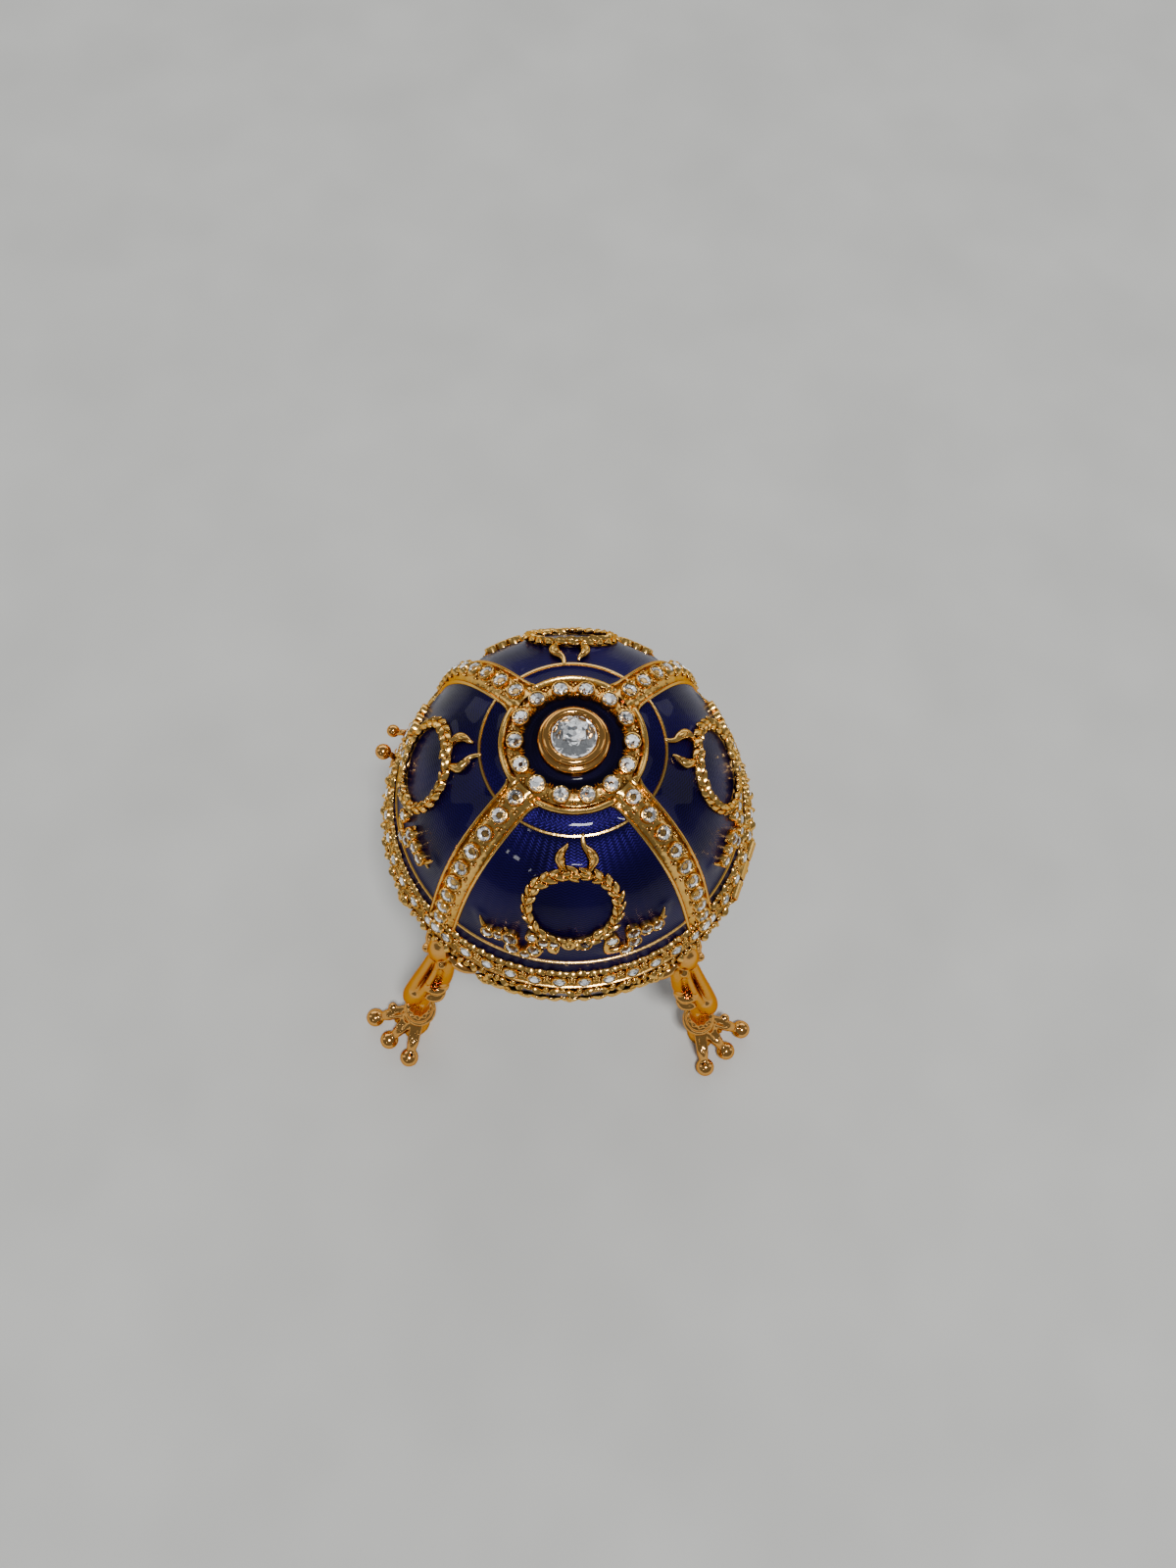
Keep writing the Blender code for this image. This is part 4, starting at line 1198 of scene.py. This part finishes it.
@dataclass
class Bowl:
    """The hollow bowl: its casting, enamel, frieze, garlands and boss.

    Args:
        finishes: the box's finishes.
        recess: depth of the cells that hold the enamel.
        frieze_leaves: leaves under the seam.
        span: half the width of a garland.
        sag: how far a garland hangs.
        start: the garland's distance from the seam.
        foot: how far from the bottom the enamel ends.
        sides: sides of the casting and the wires.
        steps: sides of the enamel.
        boss_beads: beads round the boss.
    """

    finishes: Finishes
    recess: float = 0.3
    frieze_leaves: int = 72
    span: float = 13.5
    sag: float = 7.0
    start: float = 5.6
    foot: float = 5.2
    sides: int = 160
    steps: int = 192
    boss_beads: int = 32

    def casting(self) -> None:
        """Turns the hollow casting with its rolled rim and the lip that the lid closes over."""
        rim = SEAM_Z - SEAM_GAP / 2
        edge = LID_SIDE.point(LID_SIDE.length, -WALL - 0.3)[0]
        slant = math.tan(SIDE_LEAN)
        length = BOWL_SIDE.length
        inside = [BOWL_SIDE.point(s, -WALL) for s in np.linspace(length, BAND_WIDTH, 26)]
        lip = [(edge - 0.8 - slant, rim + 0.75), (edge - 0.7 - slant, rim + 1.0),
               (edge - 0.2 - slant, rim + 1.0), (edge - slant, rim + 0.85), (edge, rim)]
        rolled = [(0.16, 0.0), (0.16, 0.3), (0.25, 0.55), (0.45, 0.68), (0.7, 0.62), (0.9, 0.35),
                  (0.95, -self.recess)]
        outside = [(s, -self.recess) for s in np.linspace(1.5, length, 30)]
        outer = [(radius, min(z, rim)) for radius, z in BOWL_SIDE.outline(rolled + outside)]
        bm = spun(inside + lip + outer, self.sides)
        mark_inside(bm)
        skins = [self.finishes.relief, self.finishes.inside]
        publish(bm, "bowl_casting", skins, Body.BASE, ("base",))

    def enamel(self) -> None:
        """Turns the enamel skin."""
        end = BOWL_SIDE.length - self.foot
        top = [(s, 0.0) for s in np.linspace(0.9, end, 64)]
        under = [(s, -self.recess + 0.02) for s in np.linspace(end, 0.9, 14)]
        bm = spun(BOWL_SIDE.outline(top + under), self.steps, closed=True)
        publish(bm, "bowl_enamel", self.finishes.enamel, Body.BASE)

    def garland(self, bm: BMesh) -> None:
        """Adds one laurel festoon between two rosettes, with a pendant, flat."""
        blade = leaf(2.7, 1.3, 0.9)
        count = 13
        for index in range(count):
            share = 2 * index / (count - 1) - 1
            side = -1 if share < 0 else 1
            spot = Vector((self.span * share, self.start + self.sag * (1 - share ** 2),
                           0.3 + 0.3 * share ** 2))
            heading = math.atan2(-2 * self.sag * share, self.span)
            if side > 0:
                heading += math.pi
            for lean in (-1, 1):
                stamp(bm, blade, shifted(*spot) @ turned(heading + math.pi + lean * 0.45)
                      @ shifted(0.4, 0.4 * lean, 0) @ turned(-0.15, "Y"))
        path = [(self.span * share, self.start + self.sag * (1 - share ** 2), 0.1, 0.5)
                for share in np.linspace(-1, 1, 15)]
        merge(bm, tube(path, 8, 3))
        low = self.start + self.sag
        petal = leaf(1.5, 1.0, 0.9)
        for u, s, lift in ((-self.span, self.start, 0.75), (self.span, self.start, 0.75), (0.0, low, 0.2)):
            for index in range(8):
                turn = turned(FULL_TURN * index / 8)
                stamp(bm, petal, shifted(u, s, lift) @ turn @ shifted(0.85, 0, 0))
            merge(bm, ball((u, s, lift + 0.3), 0.65, 0.8, 10))
        for lean in (-0.42, 0.0, 0.42):
            heading = turned(math.pi / 2 - lean)
            for step in range(3):
                stamp(bm, blade, shifted(0, low, 0.35) @ heading
                      @ shifted(2.0 + step * 1.3, 0, -0.08 * step))

    def relief(self) -> None:
        """Lays the frieze, wires and garlands on the bowl, and turns the boss."""
        metal = bmesh.new()
        scroll = bmesh.new()
        blade = leaf(2.2, 1.05, 1.3)
        bead = as_mesh(ball((0, 0, 0), 1.0))
        pitch = FULL_TURN / self.frieze_leaves
        for index in range(self.frieze_leaves):
            wander = math.sin(index * 2.7)
            lean = (0.75 if index % 2 else -0.75) + 0.4 * wander
            place = BOWL_SIDE.seat(index * pitch, 0, 1.75 + 0.25 * wander, 0.55) @ turned(lean)
            stamp(scroll, blade, place)
            for side, s, size in ((0.5, 1.15, 0.42), (0.42, 2.0, 0.5), (0.85, 2.55, 0.36)):
                seat = BOWL_SIDE.seat((index + side) * pitch, 0, s + 0.2 * wander, 0.5)
                dot(scroll, bead, seat, size * (1 + 0.2 * wander))
        merge(metal, scroll)
        end = BOWL_SIDE.length - self.foot
        for s, width in ((3.4, 0.3), (44.0, 0.3), (end, 0.5)):
            section = [(s - width, -0.35), (s - width, 0.2), (s - width / 2, 0.46), (s + width / 2, 0.46),
                       (s + width, 0.2), (s + width, -0.35)]
            merge(metal, spun(BOWL_SIDE.outline(section), self.sides, closed=True))
        flat = bmesh.new()
        self.garland(flat)
        flat_mesh = as_mesh(flat)
        for azimuth in PANEL_AZIMUTHS:
            bm = bmesh.new()
            bm.from_mesh(flat_mesh)
            merge(metal, BOWL_SIDE.lay(bm, azimuth))
        boss = [(0, 0.6), (5.4, 0.6), (5.9, 0.2), (6.0, -0.4), (5.7, -0.9), (5.0, -1.2), (3.0, -1.1),
                (2.5, -1.3), (2.5, -1.7), (2.1, -2.4), (1.2, -2.75), (0, -2.8)]
        merge(metal, spun([(radius, BOWL_BOTTOM_Z + height) for radius, height in boss], 64))
        for index in range(self.boss_beads):
            seat = turned(FULL_TURN * index / self.boss_beads) @ shifted(5.2, 0, BOWL_BOTTOM_Z - 1.1)
            dot(metal, bead, seat, 0.4)
        publish(metal, "bowl_relief", self.finishes.relief, Body.BASE, sharp_degrees=55)

    def build(self) -> None:
        """Builds the whole bowl."""
        self.casting()
        self.enamel()
        self.relief()


@dataclass
class FrogLeg:
    """A cast frog leg, modelled along X as (out from the egg's axis, sideways, up) and turned into place.

    Args:
        finishes: the box's finishes.
        name: the CAD node that it stands for.
        azimuth: where its foot stands, in degrees.
        side: 1 or -1, mirrors it.
        voxel: grid size that melts its forms into one casting.
        hip: how far sideways the hip is from the foot's line.
        ankle: the ankle's middle.
        toe_ball: radius of a toe's ball.
        toe_spread: distance between the balls.
        toe_reach: distance of a side toe's ball from the egg's axis.
        polish: how often the melted skin is smoothed.
    """

    finishes: Finishes
    name: str
    azimuth: float
    side: int
    voxel: float = 0.22
    hip: float = 2.6
    ankle: tuple[float, float, float] = (36.2, 0.9, 8.5)
    toe_ball: float = 1.7
    toe_spread: float = 5.0
    toe_reach: float = 42.9
    polish: int = 2

    def limbs(self) -> BMesh:
        """Models the thigh, the calf with its two lips, the shin and the bracket on the bowl."""
        up = (0.15, 1.0, 0.1)
        bm = bmesh.new()
        paths: list[Path] = [
            # thigh
            [(28.8, 2.5, 43.0, 1.1), (30.6, 2.4, 37.5, 1.65), (32.4, 2.1, 32.3, 1.95),
             (34.6, 1.5, 26.5, 2.05), (36.2, 0.9, 21.8, 1.85), (36.7, 0.6, 18.6, 1.0)],
            # calf beside it
            [(29.0, 3.9, 41.0, 1.0), (30.1, 4.4, 36.0, 1.15), (31.1, 4.3, 31.0, 1.2),
             (32.3, 3.6, 26.0, 1.15), (33.6, 2.8, 21.5, 1.0), (34.6, 2.0, 17.5, 0.8)],
            # upper lip of the calf
            [(34.5, 3.0, 29.4, 0.4), (33.7, 4.1, 28.4, 0.7), (32.6, 4.9, 28.1, 0.7),
            (31.5, 5.1, 28.9, 0.5)], # lower lip of the calf
            [(34.9, 2.6, 24.1, 0.4), (34.4, 3.6, 23.2, 0.72), (33.3, 4.5, 23.2, 0.75),
            (32.3, 4.7, 24.2, 0.45)], # shin
            [(34.1, 1.8, 25.5, 1.6), (35.1, 1.5, 19.5, 1.9), (35.7, 1.3, 14.0, 1.5), (36.1, 1.0, 10.5, 1.7),
             (36.4, 0.8, 7.0, 2.0), (36.9, 0.5, 5.0, 2.1)],
            # bracket
            [(29.0, self.hip, 45.4, 1.0), (29.6, self.hip, 43.6, 1.7), (29.7, self.hip, 41.0, 2.0),
             (29.8, self.hip, 36.9, 1.3)],
        ]
        for path in paths:
            merge(bm, tube(path, 16, 5, up))
        # ridges down the shin
        for turn in (-0.9, -0.3, 0.3, 0.9):
            across, out = math.sin(turn), math.cos(turn)
            ridge = [(x + stand * out, y + stand * across, z, radius) for x, y, z, stand, radius in (
                (34.9, 1.6, 20.0, 2.0, 0.25), (35.3, 1.4, 17.0, 1.85, 0.38), (35.7, 1.3, 14.0, 1.55, 0.36),
                (36.1, 1.0, 10.8, 1.7, 0.3))]
            merge(bm, tube(ridge, 8, 4, (0, 1, 0.1)))
        # leaf arms along the bowl, the front one longer
        for arm, reach in ((-1, 0.6), (1, 1.0)):
            blade = [(29.2, self.hip, 41.0, 1.5)]
            for across, out, height, radius in ((1.9, 0.2, 41.0, 0.95), (3.3, 0.4, 40.8, 1.1),
                                                (4.7, 0.3, 40.6, 0.95), (6.0, 0.0, 40.4, 0.5)):
                y = self.hip + arm * across * reach
                blade.append((math.sqrt(BELLY_RADIUS ** 2 - y ** 2) + out, y, height, radius))
            merge(bm, tube(blade, 12, 5, (1, 0, 0.2)))
            merge(bm, ball((31.0, self.hip + arm * 1.9, 40.6), 0.8, 1.0, 12))
        return bm

    def cuff(self, bm: BMesh) -> None:
        """Adds the rolled anklet and the row of beads over it."""
        out, across, height = self.ankle
        for level, radius, thick in ((1.5, 2.0, 0.5), (0.2, 2.3, 0.72)):
            ring = [(out + radius * math.cos(turn), across + radius * math.sin(turn),
                     height + level - 0.5 * math.cos(turn - 0.8), thick)
                    for turn in np.linspace(0, FULL_TURN, 15)]
            merge(bm, tube(ring, 10, 2))
        for turn in np.linspace(-2.0, 2.0, 8):
            spot = (out + 2.0 * math.cos(turn), across + 2.0 * math.sin(turn), height + 2.7)
            merge(bm, ball(spot, 0.5, 1.0, 10))

    def foot(self, bm: BMesh) -> None:
        """Adds the instep and three ridged toes that end in balls."""
        out, across, _ = self.ankle
        bmesh.ops.create_cone(bm, cap_ends=True, segments=24, radius1=3.0, radius2=1.5, depth=7.0,
                              matrix=shifted(out + 1.5, 0, 3.0))
        for spread in (-self.toe_spread, 0.0, self.toe_spread):
            tip = Vector((self.toe_reach + (0.7 if spread == 0 else 0.0), spread, self.toe_ball - 0.1))
            root = Vector((out + 0.6, across * 0.6 + spread * 0.15, 6.2))
            along = (tip - root).normalized()
            lift = Vector((0, 0, 1))
            arch = ((0.0, 0.0, 1.45), (0.3, -0.4, 1.1), (0.5, -0.1, 1.0), (0.64, 0.25, 1.1))
            path = [(*(root.lerp(tip, share) + lift * rise), radius) for share, rise, radius in arch]
            path.append((*(tip - along * self.toe_ball * 0.9), 0.8))
            merge(bm, tube(path, 12, 4, (0.1, 1, 0.3)))
            merge(bm, ball(tip, self.toe_ball, 1.0, 20))
            side = Vector((-along.y, along.x, 0)).normalized()
            for offset in (-0.75, 0.75):
                ridge = []
                for share in (0.0, 0.2, 0.4, 0.6):
                    spot = root.lerp(tip, share) + side * offset + lift * 0.85
                    ridge.append((*spot, 0.42))
                merge(bm, tube(ridge, 8, 3, (0.1, 1, 0.3)))
            merge(bm, ball(root.lerp(tip, 0.66) + lift * 1.05, 0.55, 1.0, 10))
        # the webs between the toes
        for spread in (-0.5, 0.5):
            tip = Vector((self.toe_reach - 1.0, self.toe_spread * spread, 1.2))
            root = Vector((out + 0.8, 0, 5.4))
            path = [(*root.lerp(tip, share), radius)
                    for share, radius in ((0.0, 1.7), (0.3, 1.5), (0.55, 1.1), (0.68, 0.5))]
            merge(bm, tube(path, 12, 4, (0.1, 1, 0.3)))
        merge(bm, ball((out + 3.2, -self.toe_spread * 0.74, 4.6), 0.9, 1.0, 14))

    def melt(self, bm: BMesh) -> BMesh:
        """Melts overlapping forms into one skin, as a casting is.

        Args:
            bm: closed forms that overlap.

        Returns:
            One smooth skin.
        """
        bmesh.ops.recalc_face_normals(bm, faces=bm.faces)
        item = bpy.data.objects.new("forms", as_mesh(bm))
        bpy.context.scene.collection.objects.link(item)
        skin = item.modifiers.new("melt", "REMESH")
        skin.mode = "VOXEL"
        skin.voxel_size = self.voxel
        bpy.context.view_layer.update()
        mesh = bpy.data.meshes.new_from_object(item.evaluated_get(bpy.context.evaluated_depsgraph_get()))
        result = bmesh.new()
        result.from_mesh(mesh)
        bpy.data.objects.remove(item, do_unlink=True)
        bpy.data.meshes.remove(mesh)
        for _ in range(self.polish):
            bmesh.ops.smooth_vert(result, verts=result.verts, factor=0.5, use_axis_x=True, use_axis_y=True,
                                  use_axis_z=True)
        return result

    def groove(self, bm: BMesh, path: Path, width: float, depth: float) -> None:
        """Presses a groove into the skin along a path.

        Args:
            bm: the skin.
            path: points near the skin, with the share of the depth as a fourth column.
            width: half width of the groove.
            depth: its depth.
        """
        rows = smooth_path(path, 8)
        bm.normal_update()
        places = np.array([vert.co[:] for vert in bm.verts])
        gaps = np.linalg.norm(places[:, None, :] - rows[None, :, :3], axis=2)
        nearest = gaps.argmin(axis=1)
        fall = depth * rows[nearest, 3] * np.exp(-(gaps.min(axis=1) / width) ** 2)
        for vert, amount in zip(bm.verts, fall):
            if amount > 0.01:
                vert.co -= vert.normal * amount

    def build(self) -> None:
        """Models, melts and carves the leg, and sets it against the bowl and the ground."""
        forms = self.limbs()
        self.cuff(forms)
        self.foot(forms)
        bm = self.melt(forms)
        # the long hollow along the thigh's upper side
        hollow = [(31.6, 2.8, 38.6, 0.5), (33.2, 2.8, 35.0, 1.0), (34.9, 2.5, 30.8, 1.0),
                  (36.3, 2.1, 27.2, 0.5)]
        self.groove(bm, hollow, 0.7, 1.3)
        # the valley between thigh and calf
        valley = [(31.2, 3.7, 36.0, 0.6), (32.7, 3.5, 31.0, 1.0), (34.2, 2.9, 26.0, 1.0),
                  (35.6, 2.2, 20.5, 0.5)]
        self.groove(bm, valley, 0.6, 0.8)
        # over each lip of the calf
        self.groove(bm, [(34.0, 3.6, 30.6, 0.5), (33.0, 4.8, 30.2, 1.0), (31.9, 5.4, 30.6, 0.6)], 0.45, 0.6)
        self.groove(bm, [(34.6, 3.2, 26.0, 0.5), (33.7, 4.4, 25.6, 1.0), (32.6, 4.9, 26.0, 0.6)], 0.45, 0.6)
        turn = Matrix.Rotation(math.radians(self.azimuth), 3, "Z")
        for vert in bm.verts:
            x, y, z = vert.co
            reach = math.hypot(x, y)
            s = float(np.interp(-z, -BOWL_SIDE.line[:, 1], BOWL_SIDE.distance))
            wall = BOWL_SIDE.point(s, -0.5)[0]
            if reach < wall:
                x, y = x * wall / reach, y * wall / reach
            vert.co = turn @ Vector((x, y * self.side, max(z, 0.0)))
        publish(bm, self.name + "_cast", self.finishes.polished, Body.BASE, (self.name,), 75)


@dataclass
class Hinge:
    """Three slim knuckles on a pin, tucked in under the lid's rim opposite the clasp.

    Args:
        finishes: the box's finishes.
        azimuth: where it is, in degrees.
        standoff: distance of the pin from the seam's radius.
        drop: how far the pin is below the seam.
        radius: of a knuckle.
        length: of a knuckle.
        gap: between knuckles.
        pin_radius: of the pin.
    """

    finishes: Finishes
    azimuth: float = -21.0
    standoff: float = 0.55
    drop: float = 0.9
    radius: float = 1.05
    length: float = 3.2
    gap: float = 0.3
    pin_radius: float = 0.5

    def frame(self) -> Matrix:
        """The hinge's place: X outwards, Y along the pin."""
        place = shifted(SEAM_RADIUS + self.standoff, 0, SEAM_Z - self.drop)
        return turned(math.radians(self.azimuth)) @ place

    def knuckle(self, place: int, up: int) -> BMesh:
        """A rolled knuckle with its lug.

        Args:
            place: -1, 0 or 1 along the pin.
            up: 1 on the lid, -1 on the bowl.

        Returns:
            The shape, in place.
        """
        middle = place * (self.length + self.gap)
        half = self.length / 2
        bore = self.pin_radius + 0.08
        roll = [(bore, -half), (self.radius - 0.12, -half), (self.radius, -half + 0.12),
                (self.radius, half - 0.12), (self.radius - 0.12, half), (bore, half)]
        bm = spun(roll, 32, closed=True)
        move(bm, turned(math.pi / 2, "X"))
        move(bm, shifted(0, middle, 0))
        low = bore + 0.12
        if up > 0:
            shape = [(-0.75, low), (0.7, low), (0.78, 0.75), (0.3, 1.3), (-0.6, 2.0), (-1.65, 2.7),
                     (-1.65, 1.2), (-0.75, 1.1)]
        else:
            shape = [(-1.35, -low), (0.7, -low), (0.72, -0.8), (0.2, -1.3), (-0.2, -2.0), (-1.35, -2.1)]
        ends = (middle - half + 0.06, middle + half - 0.06)
        lug = sweep([[Vector((x, y, z)) for x, z in shape] for y in ends])
        bmesh.ops.bevel(lug, geom=lug.edges[:], offset=0.08, affect="EDGES", segments=2, profile=0.5,
                        material=-1)
        merge(bm, lug)
        move(bm, self.frame())
        return bm

    def build(self) -> None:
        """Builds the knuckles and the pin."""
        publish(self.knuckle(0, 1), "hinge_lid_knuckle", self.finishes.relief, Body.LID)
        pair = self.knuckle(-1, -1)
        merge(pair, self.knuckle(1, -1))
        publish(pair, "hinge_bowl_knuckles", self.finishes.relief, Body.BASE)
        half = (3 * self.length + 2 * self.gap) / 2
        pin = spun([(0, -half - 0.4), (0.3, -half - 0.36), (self.pin_radius, -half - 0.15),
                    (self.pin_radius, half + 0.15), (0.3, half + 0.36), (0, half + 0.4)], 24)
        move(pin, turned(math.pi / 2, "X"))
        move(pin, self.frame())
        publish(pin, "hinge_rod", self.finishes.polished, Body.BASE, ("hinge_pin",))


@dataclass
class Clasp:
    """Two polished balls on pegs that snap past each other.

    Args:
        finishes: the box's finishes.
        azimuth: the clasp's middle, in degrees.
        spacing: distance between the pegs.
        reach: how far a ball's middle stands out.
        height: how far a peg starts from the seam.
    """

    finishes: Finishes
    azimuth: float = 158.5
    spacing: float = 3.6
    reach: float = 2.6
    height: float = 1.3

    def peg(self, side: int, radius: float) -> BMesh:
        """A ball on its bent peg.

        Args:
            side: 1 on the lid, -1 on the bowl.
            radius: of the ball.

        Returns:
            The shape, in place.
        """
        level = -side * self.height
        path = [(-0.9, 0, 0, 0.5), (0.5, 0, 0, 0.5), (self.reach - radius, 0, level * 0.7, 0.5),
                (self.reach, 0, level, 0.5)]
        bm = tube(path, 14, 5)
        merge(bm, ball((self.reach, 0, level), radius, 1.0, 28))
        collar = spun([(0.45, -0.1), (0.85, -0.1), (0.85, 0.2), (0.6, 0.38), (0.45, 0.38)], 24, closed=True)
        move(collar, turned(math.pi / 2, "Y"))
        merge(bm, collar)
        turn = math.radians(self.azimuth) - side * self.spacing / 2 / SEAM_RADIUS
        place = shifted(SEAM_RADIUS + 0.5, 0, SEAM_Z + side * self.height)
        move(bm, turned(turn) @ place)
        return bm

    def build(self) -> None:
        """Builds both halves."""
        polished = self.finishes.polished
        publish(self.peg(1, 1.05), "clasp_lid_ball", polished, Body.LID, ("clasp_lid",))
        publish(self.peg(-1, 1.3), "clasp_bowl_ball", polished, Body.BASE, ("clasp_base",))


# The studio


@dataclass
class Studio:
    """A pale table under soft light, and the camera at the photograph's angle.

    Args:
        pitch: degrees below the horizon that the camera looks.
        roll: degrees that it is rolled.
        yaw: degrees that it stands round the box.
        distance: from the target.
        focus: focal length in pixels of a picture 1600 pixels high.
        target: what it looks at.
    """

    pitch: float = 68.1
    roll: float = -5.91
    yaw: float = -6.53
    distance: float = 199.79
    focus: float = 1250.0
    target: tuple[float, float, float] = (2.63, 4.56, 48.4)

    def camera(self) -> None:
        """Places the camera."""
        pitch, roll = math.radians(self.pitch), math.radians(self.roll)
        back = Vector((0, -math.cos(pitch), math.sin(pitch)))
        level, rise = Vector((1, 0, 0)), Vector((0, math.sin(pitch), math.cos(pitch)))
        right = level * math.cos(roll) - rise * math.sin(roll)
        up = level * math.sin(roll) + rise * math.cos(roll)
        place = Matrix((right, up, back)).transposed().to_4x4()
        place.translation = (Vector(self.target) + back * self.distance) * MM
        lens = bpy.data.cameras.new("photo_camera")
        lens.sensor_fit = "VERTICAL"
        lens.sensor_height = 36.0
        lens.lens = self.focus / 1600 * 36.0
        lens.clip_start = 0.005
        item = bpy.data.objects.new("photo_camera", lens)
        item.matrix_world = turned(math.radians(self.yaw)) @ place
        bpy.context.scene.collection.objects.link(item)
        bpy.context.scene.camera = item

    def softbox(self, name: str, direction: tuple[float, float, float], distance: float, size: Point,
                power: float) -> None:
        """Hangs a rectangular light that faces the box.

        Args:
            name: the light's name.
            direction: from the box to the light.
            distance: in metres.
            size: its width and height in metres.
            power: in watts.
        """
        light = bpy.data.lights.new(name, "AREA")
        light.shape = "RECTANGLE"
        light.size, light.size_y = size
        light.energy = power
        item = bpy.data.objects.new(name, light)
        way = Vector(direction).normalized()
        item.matrix_world = way.to_track_quat("Z", "Y").to_matrix().to_4x4()
        item.location = way * distance + Vector((0, 0, 0.06))
        bpy.context.scene.collection.objects.link(item)

    def table(self) -> None:
        """Lays the table top."""
        bm = bmesh.new()
        bmesh.ops.create_circle(bm, cap_ends=True, segments=96, radius=1.6)
        mesh = as_mesh(bm)
        mesh.materials.append(PaleTable("pale_matt_table", "#DCDCD8", "#D2D2CE", 30).build())
        item = bpy.data.objects.new("table_top", mesh)
        bpy.context.scene.collection.objects.link(item)

    def build(self) -> None:
        """Sets up the camera, the table and the lights."""
        self.camera()
        self.table()
        self.softbox("ceiling_light", (0.087, -0.298, 0.95), 1.3, (0.24, 0.15), 12.0)
        self.softbox("back_window", (0.0, 0.9, 0.42), 1.6, (3.2, 0.9), 13.0)
        self.softbox("left_window", (-0.9, 0.12, 0.42), 1.4, (0.5, 0.8), 1.1)
        self.softbox("right_window", (0.9, 0.12, 0.42), 1.4, (0.5, 0.8), 1.1)
        self.softbox("side_glint", (-0.512, -0.661, 0.548), 1.5, (0.06, 0.09), 0.35)
        world = bpy.data.worlds.new("studio_air")
        world.use_nodes = True
        background = world.node_tree.nodes["Background"]
        background.inputs["Color"].default_value = linear("#DDE0E4")
        background.inputs["Strength"].default_value = 0.22
        bpy.context.scene.world = world


LEGS = {
    "leg_front_left": (-139.0, 1),
    "leg_front_right": (-46.0, -1),
    "leg_back_right": (41.0, 1),
    "leg_back_left": (134.0, -1),
}


def main() -> None:
    """Builds the box, piece by piece, and the studio round it."""
    logging.basicConfig(level=logging.INFO, format="%(name)s: %(message)s")
    finishes = Finishes.build()
    setter = StoneSetter(finishes)
    panels = PanelRelief(finishes, setter)
    shell = LidShell(finishes)
    shell.casting()
    shell.enamel(panels)
    CrownSetting(finishes, setter).build()
    Ribs(finishes, setter).build()
    panels.build()
    LidTrim(finishes, setter).build()
    Bowl(finishes).build()
    for name, (azimuth, side) in LEGS.items():
        FrogLeg(finishes, name, azimuth, side).build()
    Hinge(finishes).build()
    Clasp(finishes).build()
    Studio().build()


if __name__ == "__main__":
    main()
